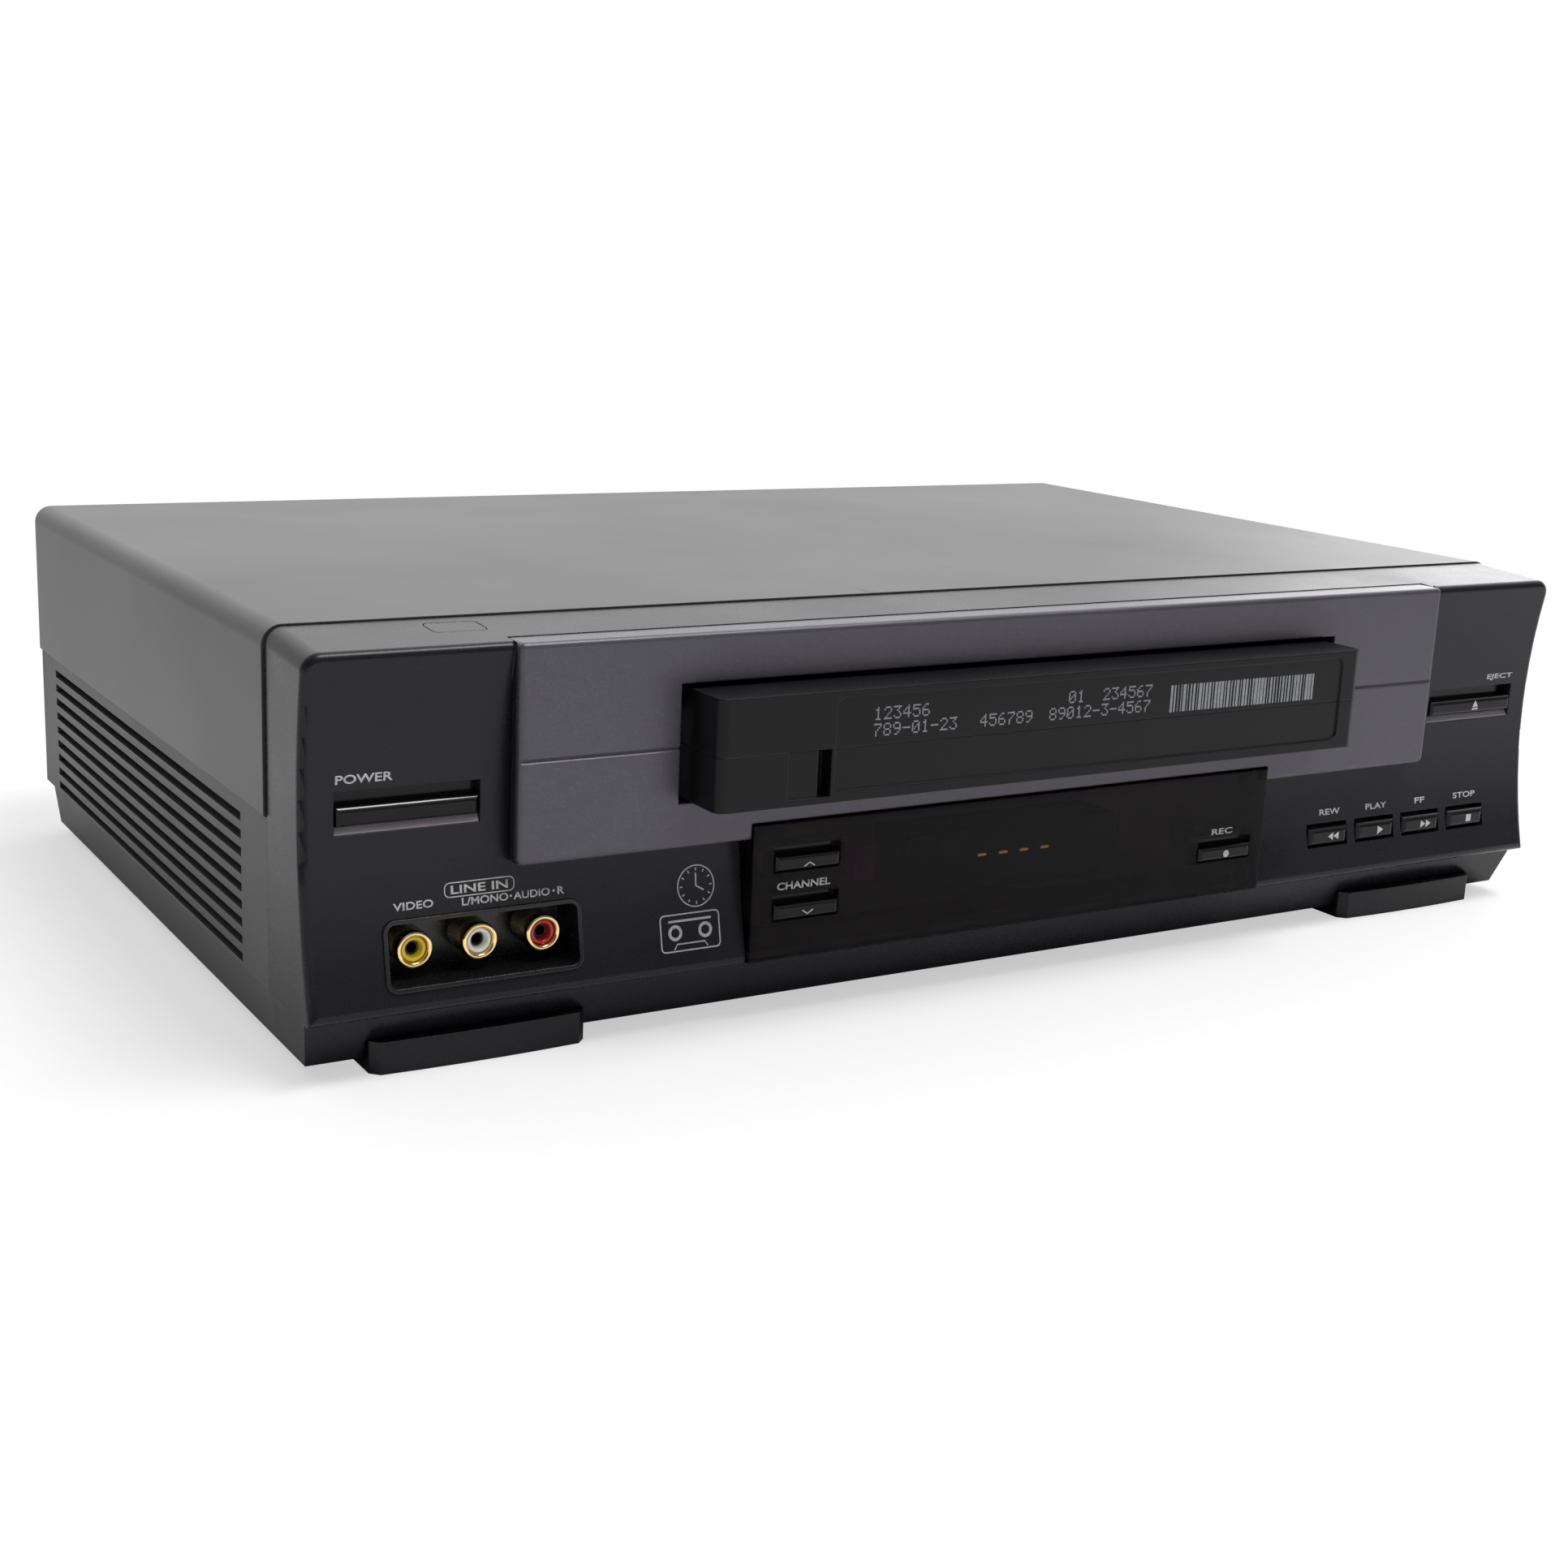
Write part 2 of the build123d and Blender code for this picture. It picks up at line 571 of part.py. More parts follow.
def span(x0, x1, y0, y1, z0, z1, mode=Mode.ADD):
    """A box between two corners, joined to the part being built."""
    with Locations(((x0 + x1) / 2, (y0 + y1) / 2, (z0 + z1) / 2)):
        Box(abs(x1 - x0), abs(y1 - y0), abs(z1 - z0), mode=mode)


def upright(x, y, z0, z1, radius, mode=Mode.ADD):
    """An upright cylinder from z0 to z1."""
    with Locations((x, y, (z0 + z1) / 2)):
        Cylinder(radius, z1 - z0, mode=mode)


def along_y(x, z, y0, y1, radius, mode=Mode.ADD):
    """A cylinder from y0 to y1."""
    with Locations(Location((x, (y0 + y1) / 2, z), (90, 0, 0))):
        Cylinder(radius, abs(y1 - y0), mode=mode)


def along_x(y, z, x0, x1, radius, mode=Mode.ADD):
    """A cylinder from x0 to x1."""
    with Locations(Location(((x0 + x1) / 2, y, z), (0, 90, 0))):
        Cylinder(radius, abs(x1 - x0), mode=mode)


def side_profile(inset, top_inset, low_z, back_y):
    """The front moulding's outline from the side, moved in by inset from its face."""
    top_z = FRONT_TOP_Z - top_inset
    with BuildSketch(Plane.YZ) as profile:
        with BuildLine():
            face = ThreePointArc(
                (front_y(top_z) + inset, top_z),
                (front_y(FRONT_MID_Z) + inset, FRONT_MID_Z),
                (front_y(low_z) + inset, low_z),
            )
            Polyline(face @ 1, (back_y, low_z), (back_y, FASCIA_TOP_Z - top_inset), face @ 0)
        make_face()
    return profile.sketch


def skirt_level(z, inset, wall, front, back):
    """The skirt's outline at height z, moved in all round by wall."""
    half = HALF - inset - wall
    with BuildSketch(Plane.XY.offset(z)) as level:
        with Locations((0, (back + front) / 2)):
            Rectangle(2 * half, back - front - 2 * wall)
    return level.sketch


def jack_shell(x, z, mouth, seat, tail):
    """A metal socket shell from its mouth to its seat, with a tail behind."""
    inward = math.copysign(1, seat - mouth)
    along_y(x, z, mouth, seat, SHELL_R)
    along_y(x, z, mouth - inward, seat - inward * SHELL_BACK, INSERT_R, Mode.SUBTRACT)
    along_y(x, z, seat, tail, TAIL_R)


def jack_insert(x, z, mouth, seat):
    """The coloured insert inside a shell."""
    inward = math.copysign(1, seat - mouth)
    along_y(x, z, mouth + inward * INSERT_IN, seat - inward * SHELL_BACK, INSERT_R)
    along_y(x, z, mouth, mouth + inward * PIN_HOLE_DEPTH, PIN_HOLE_R, Mode.SUBTRACT)


JACK_SEAT = front_y(JACK_Z) + JACK_BAY_DEPTH
FRONT_SOCKETS = [
    (JACK_X + column * JACK_PITCH, JACK_Z, -JACK_FACE, JACK_SEAT, BOARD_Y) for column in (-1, 0, 1)
]
REAR_SOCKETS = [
    (REAR_JACK_X + column * JACK_PITCH, REAR_JACK_Z + row * REAR_JACK_ROW,
     REAR_END, REAR_FACE_Y, REAR_FACE_Y - REAR_T - 1)
    for row in (0, 1) for column in (0, 1, 2)
]
AERIAL_XS = (TUNER_X - AERIAL_PITCH / 2, TUNER_X + AERIAL_PITCH / 2)
CHIPS = [                     # middle x and y, width and depth
    (-30.0, 88.0, 26.0, 18.0),
    (-62.0, 134.0, 20.0, 20.0),
    (130.0, 92.0, 30.0, 12.0),
    (140.0, 124.0, 16.0, 16.0),
]

# ================================================================ front moulding
KEYS = {                      # name: (middle x, opening's width, lower edge and height, wall, sill, share filled)
    "power_button": (-BIG_KEY_X, BIG_KEY_W, BIG_KEY_Z, BIG_KEY_H, "fascia", BIG_KEY_SILL, KEY_CAP_SHARE),
    "eject_button": (BIG_KEY_X, BIG_KEY_W, BIG_KEY_Z, BIG_KEY_H, "fascia", BIG_KEY_SILL, KEY_CAP_SHARE),
    "channel_up_button": (
        -CHANNEL_KEY_X, WINDOW_KEY_W, UP_KEY_Z, WINDOW_KEY_H, "window", KEY_SILL, KEY_CAP_SHARE
    ),
    "channel_down_button": (
        -CHANNEL_KEY_X, WINDOW_KEY_W, DOWN_KEY_Z, WINDOW_KEY_H, "window", KEY_SILL, KEY_CAP_SHARE
    ),
    "record_button": (RECORD_KEY_X, WINDOW_KEY_W, DOWN_KEY_Z, WINDOW_KEY_H, "window", KEY_SILL, KEY_CAP_SHARE),
}
for number, name in enumerate(("rewind_button", "play_button", "forward_button", "stop_button")):
    KEYS[name] = (
        DECK_KEY_X + number * DECK_KEY_PITCH, DECK_KEY_W, DECK_KEY_Z, DECK_KEY_H, "fascia", KEY_SILL, DECK_KEY_SHARE
    )

BOSS_FACE = PANEL_FACE - PANEL_T

with BuildPart() as front_fascia:
    # the hollow face with its rounded ends
    extrude(side_profile(0, 0, BODY_Z, 0), amount=BODY_HALF, both=True)
    fillet(
        front_fascia.edges().filter_by(
            lambda e: abs(e.center().X) > BODY_HALF - 0.1 and e.center().Z > FRONT_TOP_Z
        ),
        COVER_BEND - SIDE_INSET,
    )
    fillet(
        front_fascia.edges().filter_by(
            lambda e: e.center().Y < 1 - FRONT_DEPTH
        ),
        FRONT_ROUND,
    )
    # the raised boss under the grey panel, with drafted sides
    with BuildSketch(Plane.XZ.offset(BOSS_FACE)) as boss_face:
        with Locations((0, (PANEL_LOW_Z + PANEL_TOP_Z) / 2)):
            Rectangle(2 * PANEL_HALF, PANEL_TOP_Z - PANEL_LOW_Z)
        fillet(boss_face.vertices().group_by(Axis.Y)[0], PANEL_CORNER)
    extrude(amount=WALL + FRONT_DEPTH - BOSS_FACE, taper=-BOSS_DRAFT)
    # the skirt below it
    loft([
        skirt_level(BODY_Z, SKIRT_TOP_INSET, 0, SKIRT_TOP_Y, 0),
        skirt_level(SKIRT_Z, SKIRT_LOW_INSET, 0, SKIRT_LOW_Y, 0),
    ])
    # hollow inside: body, boss and skirt
    extrude(
        side_profile(WALL, WALL, FLOOR_TOP, 1), amount=BODY_HALF - WALL, both=True, mode=Mode.SUBTRACT
    )
    span(-PANEL_HALF + WALL, PANEL_HALF - WALL, WALL - BOSS_FACE, -FRONT_DEPTH + WALL,
         PANEL_LOW_Z + WALL, FRONT_TOP_Z - 2 * WALL, Mode.SUBTRACT)
    loft([
        skirt_level(BODY_Z, SKIRT_TOP_INSET, WALL, SKIRT_TOP_Y, 2 * WALL + 1),
        skirt_level(SKIRT_Z - 1, SKIRT_LOW_INSET, WALL, SKIRT_LOW_Y, 2 * WALL + 1),
    ], mode=Mode.SUBTRACT)
    # the panel's ledge over the top edge
    span(-PANEL_HALF, PANEL_HALF, -PANEL_LEDGE, -PANEL_FACE, PANEL_TOP_Z - PANEL_T, HEIGHT, Mode.SUBTRACT)
    # cassette slot
    span(-SLOT_HALF, SLOT_HALF, -PANEL_FACE, 0, SLOT_LOW_Z, SLOT_TOP_Z, Mode.SUBTRACT)
    # ears for the flap's pins
    for side in (-1, 1):
        span(side * (FLAP_HALF + FLAP_GAP), side * (FLAP_HALF + FLAP_GAP + EAR_T), -BOSS_FACE + WALL / 2,
             FLAP_Y + EAR_T, SLOT_TOP_Z - 1, FLAP_PIVOT_Z + EAR_T + FLAP_PIN_R)
    along_x(FLAP_Y, FLAP_PIVOT_Z, -FLAP_HALF - EAR_T - FIT, FLAP_HALF + EAR_T + FIT,
            FLAP_PIN_R + RUN_FIT, Mode.SUBTRACT)
    # the window's shoulder and the hole behind it
    span(-WINDOW_HALF - FIT, WINDOW_HALF + FIT, -WINDOW_SEAT, -WINDOW_FACE - 1,
         BODY_Z - 1, WINDOW_TOP_Z + FIT, Mode.SUBTRACT)
    span(-WINDOW_HALF + WALL, WINDOW_HALF - WALL, -WINDOW_FACE, -FRONT_DEPTH / 2,
         FLOOR_TOP, WINDOW_TOP_Z - WALL, Mode.SUBTRACT)
    # openings for the keys
    for name, (x, width, low, height, face, sill, share) in KEYS.items():
        if face == "fascia":
            span(x - width / 2, x + width / 2, -PANEL_FACE, WALL - FRONT_DEPTH + 1, low, low + height,
                 Mode.SUBTRACT)
    # opening for the socket bay
    with BuildSketch(Plane.XZ.offset(PANEL_FACE)):
        with Locations((JACK_X, JACK_Z)):
            RectangleRounded(JACK_BAY_W, JACK_BAY_H, JACK_BAY_CORNER)
    extrude(amount=-PANEL_FACE / 2, mode=Mode.SUBTRACT)
    # outline of the touch mark on the top, and notches where the feet come through the skirt
    with BuildSketch(Plane.XY.offset(HEIGHT)):
        with Locations((MARK_X, MARK_Y)):
            RectangleRounded(MARK_W, MARK_D, MARK_CORNER)
            RectangleRounded(MARK_W - 2 * MARK_LINE, MARK_D - 2 * MARK_LINE, MARK_CORNER - MARK_LINE,
                             mode=Mode.SUBTRACT)
    extrude(amount=MARK_FLOOR_Z - HEIGHT, mode=Mode.SUBTRACT)
    for side in (-1, 1):
        span(side * (FOOT_IN - FOOT_TAPER - FIT), side * (FOOT_OUT + FOOT_TAPER + FIT),
             SKIRT_TOP_Y, SKIRT_LOW_Y + WALL + 2, SKIRT_Z - 1, FOOT_TOP_Z, Mode.SUBTRACT)
save(front_fascia, "front_fascia")

with BuildPart() as centre_panel:
    # face and ledge over the top edge, with rounded outer edges
    with BuildSketch(Plane.YZ):
        with BuildLine():
            Polyline(
                (-PANEL_FACE, PANEL_LOW_Z), (-BOSS_FACE, PANEL_LOW_Z),
                (-BOSS_FACE, PANEL_TOP_Z - PANEL_T), (-PANEL_LEDGE, PANEL_TOP_Z - PANEL_T),
                (-PANEL_LEDGE, PANEL_TOP_Z), (-PANEL_FACE, PANEL_TOP_Z), close=True,
            )
        make_face()
    extrude(amount=PANEL_HALF, both=True)
    fillet(
        centre_panel.edges().filter_by(Axis.Y).group_by(Axis.Z)[0], PANEL_CORNER
    )
    fillet(
        centre_panel.edges().filter_by(
            lambda e: e.center().Y < -PANEL_FACE + 0.01
            or (e.center().Z > PANEL_TOP_Z - 0.01 and abs(e.center().X) > PANEL_HALF - 0.01)
        ),
        PANEL_EDGE,
    )
    # V groove across the middle, cassette slot and notch for the window
    with BuildSketch(Plane.YZ):
        with Locations((-PANEL_FACE, GROOVE_Z)):
            Rectangle(GROOVE, GROOVE, rotation=45)
    extrude(amount=PANEL_HALF + 1, both=True, mode=Mode.SUBTRACT)
    span(-SLOT_HALF, SLOT_HALF, -PANEL_FACE - 1, -BOSS_FACE + 1, SLOT_LOW_Z, SLOT_TOP_Z, Mode.SUBTRACT)
    span(-WINDOW_HALF - FIT, WINDOW_HALF + FIT, -PANEL_FACE - 1, -BOSS_FACE + 1,
         0, WINDOW_TOP_Z + FIT, Mode.SUBTRACT)
save(centre_panel, "centre_panel")

with BuildPart() as display_window:
    span(-WINDOW_HALF, WINDOW_HALF, -WINDOW_FACE, -WINDOW_SEAT, WINDOW_LOW_Z, WINDOW_TOP_Z)
    fillet(display_window.edges().group_by(Axis.Y)[0], WINDOW_ROUND)
    span(-WINDOW_HALF + WINDOW_T, WINDOW_HALF - WINDOW_T, WINDOW_T - WINDOW_FACE, -WINDOW_SEAT,
         WINDOW_LOW_Z + WINDOW_T, WINDOW_TOP_Z - WINDOW_T, Mode.SUBTRACT)
    for name, (x, width, low, height, face, sill, share) in KEYS.items():
        if face == "window":
            span(x - width / 2, x + width / 2, -WINDOW_FACE - 1, WINDOW_T - WINDOW_FACE, low, low + height,
                 Mode.SUBTRACT)
save(display_window, "display_window")

# ================================================================ keys
for name, (x, width, low, height, face, sill, share) in KEYS.items():
    if face == "window":
        wall_back = WINDOW_T - WINDOW_FACE
        cap_front = -WINDOW_FACE - KEY_PROUD
    else:
        wall_back = front_y(low + height) + WALL
        cap_front = front_y(low + height / 2) - KEY_PROUD
    cap_low = low + sill
    cap_high = low + height * share
    with BuildPart() as key:
        span(x - width / 2 + FIT, x + width / 2 - FIT, cap_front, wall_back + KEY_GAP, cap_low, cap_high)
        fillet(key.edges().group_by(Axis.Y)[0], (cap_high - cap_low) * KEY_ROUND_SHARE)
        flange_y = wall_back + KEY_GAP
        span(x - width / 2 - KEY_FLANGE_LIP, x + width / 2 + KEY_FLANGE_LIP, flange_y,
             flange_y + KEY_FLANGE_T, low - KEY_FLANGE_LIP, low + height + KEY_FLANGE_LIP)
        stem_end = BOARD_Y - SWITCH_H - KEY_TRAVEL - KEY_GAP
        along_y(x, low + height / 2, flange_y + KEY_FLANGE_T, stem_end, KEY_STEM_R)
    save(key, name)

# ================================================================ casing
with BuildPart() as top_cover:
    with BuildSketch(Plane.XZ.offset(-SEAM_GAP)) as section:
        with Locations((0, (COVER_EDGE_Z + HEIGHT) / 2)):
            Rectangle(WIDTH, HEIGHT - COVER_EDGE_Z)
        fillet(section.vertices().group_by(Axis.Y)[-1], COVER_BEND)
        with BuildSketch(mode=Mode.SUBTRACT) as inside:
            with Locations((0, (COVER_EDGE_Z + HEIGHT - COVER_T) / 2)):
                Rectangle(WIDTH - 2 * COVER_T, HEIGHT - COVER_T - COVER_EDGE_Z)
            fillet(inside.vertices().group_by(Axis.Y)[-1], COVER_BEND - COVER_T)
    extrude(amount=SEAM_GAP - COVER_DEPTH)
    span(-HALF + COVER_BEND, HALF - COVER_BEND, REAR_FACE_Y, COVER_DEPTH,
         HEIGHT - COVER_LIP_H, HEIGHT - COVER_T)
    for x in (-COVER_SCREW_X, 0, COVER_SCREW_X):
        along_y(x, COVER_SCREW_Z, REAR_FACE_Y - 1, COVER_DEPTH + 1, SCREW_R, Mode.SUBTRACT)
save(top_cover, "top_cover")

with BuildPart() as chassis_base:
    # floor and louvred side walls, set in above the cover's lower edge
    step_z = COVER_EDGE_Z - SEAM_GAP
    inner = HALF - COVER_T - SEAM_GAP
    span(-BODY_HALF, BODY_HALF, 0, REAR_FACE_Y - REAR_T, BODY_Z, FLOOR_TOP)
    for side in (-1, 1):
        span(side * (BODY_HALF - WALL), side * BODY_HALF, 0, COVER_DEPTH, BODY_Z, step_z)
        span(side * (BODY_HALF - WALL), side * inner, SEAM_GAP, REAR_FACE_Y - REAR_T, step_z, UPPER_WALL_Z)
        with Locations(*[
            (side * BODY_HALF, (LOUVRE_FRONT_Y + LOUVRE_BACK_Y) / 2,
             LOUVRE_LOW_Z + row * LOUVRE_PITCH + LOUVRE_H / 2)
            for row in range(LOUVRES)
        ]):
            Box(3 * WALL, LOUVRE_BACK_Y - LOUVRE_FRONT_Y, LOUVRE_H, mode=Mode.SUBTRACT)
    # skirt
    with BuildPart(mode=Mode.PRIVATE) as skirt:
        loft([
            skirt_level(BODY_Z, SKIRT_TOP_INSET, 0, 0, SKIRT_BACK),
            skirt_level(SKIRT_Z, SKIRT_LOW_INSET, 0, 0, SKIRT_BACK),
        ])
        loft([
            skirt_level(BODY_Z, SKIRT_TOP_INSET, WALL, -2 * WALL, SKIRT_BACK),
            skirt_level(SKIRT_Z, SKIRT_LOW_INSET, WALL, -2 * WALL, SKIRT_BACK),
        ], mode=Mode.SUBTRACT)
    add(skirt.part)
    # posts under the deck, pads under the main board
    for x in (-POST_X, POST_X):
        for y in (POST_FRONT_Y, POST_BACK_Y):
            upright(x, y, FLOOR_TOP, DECK_Z, POST_R)
    for x in (-PAD_X, PAD_X):
        for y in (MAIN_FRONT_Y + PAD_IN, MAIN_BACK_Y - PAD_IN):
            upright(x, y, FLOOR_TOP, MAIN_Z, POST_R)
    for x, y in PLATE_SCREWS:
        upright(x, y, 0, FLOOR_TOP + 1, SCREW_R, Mode.SUBTRACT)
save(chassis_base, "chassis_base")

with BuildPart() as bottom_plate:
    span(-PLATE_HALF, PLATE_HALF, PLATE_FRONT_Y, PLATE_BACK_Y, UNDER_PLATE_Z, BODY_Z)
    for number in range(PLATE_SLOTS):
        y = MAIN_FRONT_Y + number * 2 * VENT_PITCH
        span(-DECK_HALF / 2, DECK_HALF / 2, y, y + VENT_W, 0, BODY_Z + 1, Mode.SUBTRACT)
    for x, y in PLATE_SCREWS:
        upright(x, y, 0, BODY_Z + 1, SCREW_R, Mode.SUBTRACT)
save(bottom_plate, "bottom_plate")

with BuildPart() as rear_panel:
    span(WALL - BODY_HALF, BODY_HALF - WALL, REAR_FACE_Y - REAR_T, REAR_FACE_Y, BODY_Z, HEIGHT - COVER_BEND)
    span(-HALF + COVER_BEND, HALF - COVER_BEND, REAR_FACE_Y - REAR_T, REAR_FACE_Y,
         HEIGHT - COVER_BEND, HEIGHT - COVER_T)
    for number in range(VENT_COUNT):
        x = VENT_X - number * VENT_PITCH
        span(x, x + VENT_W, 0, REAR_FACE_Y + 1, VENT_LOW_Z, VENT_HIGH_Z, Mode.SUBTRACT)
    for x, z, mouth, seat, tail in REAR_SOCKETS:
        along_y(x, z, seat, tail, SHELL_R, Mode.SUBTRACT)
    for x in AERIAL_XS:
        along_y(x, AERIAL_Z, 0, REAR_FACE_Y + 1, AERIAL_R, Mode.SUBTRACT)
    along_y(GLAND_X, GLAND_Z, 0, REAR_FACE_Y + 1, GLAND_R, Mode.SUBTRACT)
    for x in (-COVER_SCREW_X, 0, COVER_SCREW_X):
        along_y(x, COVER_SCREW_Z, 0, REAR_FACE_Y + 1, SCREW_R, Mode.SUBTRACT)
save(rear_panel, "rear_panel")

with BuildPart() as cover_screws:
    for x in (-COVER_SCREW_X, 0, COVER_SCREW_X):
        along_y(x, COVER_SCREW_Z, COVER_DEPTH, COVER_DEPTH + SCREW_HEAD_H, SCREW_HEAD_R)
        along_y(x, COVER_SCREW_Z, COVER_DEPTH, REAR_FACE_Y - REAR_T - SCREW_HEAD_H, SCREW_R)
        span(x - SCREW_HEAD_R, x + SCREW_HEAD_R, COVER_DEPTH + SCREW_HEAD_H / 2, COVER_DEPTH + SCREW_HEAD_H + 1,
             COVER_SCREW_Z - CROSS_W / 2, COVER_SCREW_Z + CROSS_W / 2, Mode.SUBTRACT)
save(cover_screws, "cover_screws")

with BuildPart() as chassis_screws:
    for x, y in PLATE_SCREWS:
        upright(x, y, UNDER_PLATE_Z - SCREW_HEAD_H, UNDER_PLATE_Z, SCREW_HEAD_R)
        upright(x, y, UNDER_PLATE_Z, FLOOR_TOP, SCREW_R)
        span(x - SCREW_HEAD_R, x + SCREW_HEAD_R, y - CROSS_W / 2, y + CROSS_W / 2,
             0, UNDER_PLATE_Z - SCREW_HEAD_H / 2, Mode.SUBTRACT)
save(chassis_screws, "chassis_screws")

with BuildPart() as feet:
    # two wide front feet that step up in front of the skirt, two round ones at the back
    for side in (-1, 1):
        with BuildSketch(Plane.XY) as sole:
            with BuildLine():
                bow = ThreePointArc(
                    (side * FOOT_IN, -FOOT_FRONT),
                    (side * (FOOT_IN + FOOT_OUT) / 2, -FOOT_FRONT - FOOT_BOW),
                    (side * FOOT_OUT, -FOOT_FRONT),
                )
                Polyline(
                    bow @ 1, (side * (FOOT_OUT + FOOT_TAPER), FOOT_TAPER - FOOT_FRONT),
                    (side * (FOOT_OUT + FOOT_TAPER), FOOT_BACK_Y),
                    (side * (FOOT_IN - FOOT_TAPER), FOOT_BACK_Y),
                    (side * (FOOT_IN - FOOT_TAPER), FOOT_TAPER - FOOT_FRONT), bow @ 0,
                )
            make_face()
        extrude(amount=FOOT_TOP_Z)
        middle = side * (FOOT_IN + FOOT_OUT) / 2
        upright(middle, -FOOT_PIN_Y, FOOT_TOP_Z, BODY_Z, FOOT_PIN_R)
        upright(middle, FOOT_PIN_Y, FOOT_TOP_Z, UNDER_PLATE_Z, FOOT_PIN_R)
        upright(side * REAR_FOOT_X, REAR_FOOT_Y, 0, UNDER_PLATE_Z, REAR_FOOT_R)
save(feet, "feet")

# ================================================================ sockets
with BuildPart() as front_jack_block:
    # a deep bay with a thin rim that follows the hollow face
    with BuildSketch(Plane.XZ.offset(PANEL_FACE)):
        with Locations((JACK_X, JACK_Z)):
            RectangleRounded(JACK_BAY_W, JACK_BAY_H, JACK_BAY_CORNER)
    extrude(amount=-(PANEL_FACE + JACK_SEAT + JACK_FLOOR_T))
    extrude(side_profile(-JACK_RIM_OUT, 0, FLOOR_TOP, 1), amount=BODY_HALF, both=True, mode=Mode.INTERSECT)
    with BuildSketch(Plane.XZ.offset(PANEL_FACE)):
        with Locations((JACK_X, JACK_Z)):
            RectangleRounded(
                JACK_BAY_W - 2 * JACK_RIM, JACK_BAY_H - 2 * JACK_RIM, JACK_BAY_CORNER - JACK_RIM
            )
    extrude(amount=-(PANEL_FACE + JACK_SEAT), mode=Mode.SUBTRACT)
    for x, z, mouth, seat, tail in FRONT_SOCKETS:
        along_y(x, z, seat, seat + JACK_FLOOR_T + 1, TAIL_R, Mode.SUBTRACT)
save(front_jack_block, "front_jack_block")

with BuildPart() as jack_shells:
    for x, z, mouth, seat, tail in FRONT_SOCKETS + REAR_SOCKETS:
        jack_shell(x, z, mouth, seat, tail)
save(jack_shells, "jack_shells")

for number, colour in enumerate(("yellow", "white", "red")):
    with BuildPart() as inserts:
        for x, z, mouth, seat, tail in FRONT_SOCKETS[number::3] + REAR_SOCKETS[number::3]:
            jack_insert(x, z, mouth, seat)
    save(inserts, f"{colour}_jack_inserts")

with BuildPart() as cord_gland:
    along_y(GLAND_X, GLAND_Z, REAR_FACE_Y - REAR_T - GLAND_LIP, REAR_FACE_Y + GLAND_OUT, GLAND_R)
    along_y(GLAND_X, GLAND_Z, REAR_FACE_Y, REAR_FACE_Y + GLAND_LIP, GLAND_R + GLAND_LIP)
    along_y(GLAND_X, GLAND_Z, REAR_FACE_Y + GLAND_LIP, REAR_FACE_Y + GLAND_OUT + 1, GLAND_BORE_R, Mode.SUBTRACT)
save(cord_gland, "cord_gland")

# ================================================================ electrics
with BuildPart() as tuner_can:
    # screened box with two threaded aerial sockets through the rear panel
    inside_y = REAR_FACE_Y - REAR_T
    span(TUNER_X - TUNER_W / 2, TUNER_X + TUNER_W / 2, inside_y - TUNER_D, inside_y, MAIN_TOP, MAIN_TOP + TUNER_H)
    for x in AERIAL_XS:
        along_y(x, AERIAL_Z, inside_y, REAR_FACE_Y + AERIAL_OUT, AERIAL_R)
        along_y(x, AERIAL_Z, REAR_FACE_Y, REAR_FACE_Y + AERIAL_OUT + 1, AERIAL_PIN_R, Mode.SUBTRACT)
save(tuner_can, "tuner_can")

with BuildPart() as main_board:
    span(-MAIN_HALF, MAIN_HALF, MAIN_FRONT_Y, MAIN_BACK_Y, MAIN_Z, MAIN_TOP)
    for x in (-POST_X, POST_X):
        upright(x, POST_BACK_Y, MAIN_Z, MAIN_TOP, POST_R + FIT, Mode.SUBTRACT)
    for x, y, width, depth in CHIPS:
        span(x - width / 2, x + width / 2, y - depth / 2, y + depth / 2, MAIN_TOP, MAIN_TOP + CHIP_H)
save(main_board, "main_board")

with BuildPart() as power_transformer:
    width, depth, height = TRANSFORMER
    span(TRANSFORMER_X - width / 2, TRANSFORMER_X + width / 2, TRANSFORMER_Y - depth / 2,
         TRANSFORMER_Y + depth / 2, MAIN_TOP + TRANSFORMER_LIFT, MAIN_TOP + height)
    coil_half = width * COIL_W_SHARE / 2
    span(TRANSFORMER_X - coil_half, TRANSFORMER_X + coil_half, TRANSFORMER_Y - depth * COIL_SHARE,
         TRANSFORMER_Y + depth * COIL_SHARE, MAIN_TOP, MAIN_TOP + height - TRANSFORMER_LIFT)
save(power_transformer, "power_transformer")

with BuildPart() as power_capacitors:
    for x, y in CAPACITORS:
        upright(x, y, MAIN_TOP, MAIN_TOP + CAPACITOR_H, CAPACITOR_R)
save(power_capacitors, "power_capacitors")

with BuildPart() as heatsink:
    span(HEATSINK_X - HEATSINK_W, HEATSINK_X, HEATSINK_Y0, HEATSINK_Y1, MAIN_TOP, MAIN_TOP + TUNER_H)
    fins = int((HEATSINK_Y1 - HEATSINK_Y0) // HEATSINK_PITCH)
    for number in range(fins + 1):
        y = HEATSINK_Y0 + number * HEATSINK_PITCH
        span(HEATSINK_X, HEATSINK_X + 2 * HEATSINK_W, y, y + PLATE_T, MAIN_TOP, MAIN_TOP + TUNER_H)
save(heatsink, "heatsink")

with BuildPart() as key_board:
    # upright board behind the front, lower in the middle to let the cassette over it
    span(-BOARD_HALF, BOARD_HALF, BOARD_Y, BOARD_Y + BOARD_T, FLOOR_TOP, BOARD_MID_Z)
    for side in (-1, 1):
        span(side * BOARD_EAR_X, side * BOARD_HALF, BOARD_Y, BOARD_Y + BOARD_T, FLOOR_TOP, BOARD_EAR_Z)
save(key_board, "key_board")

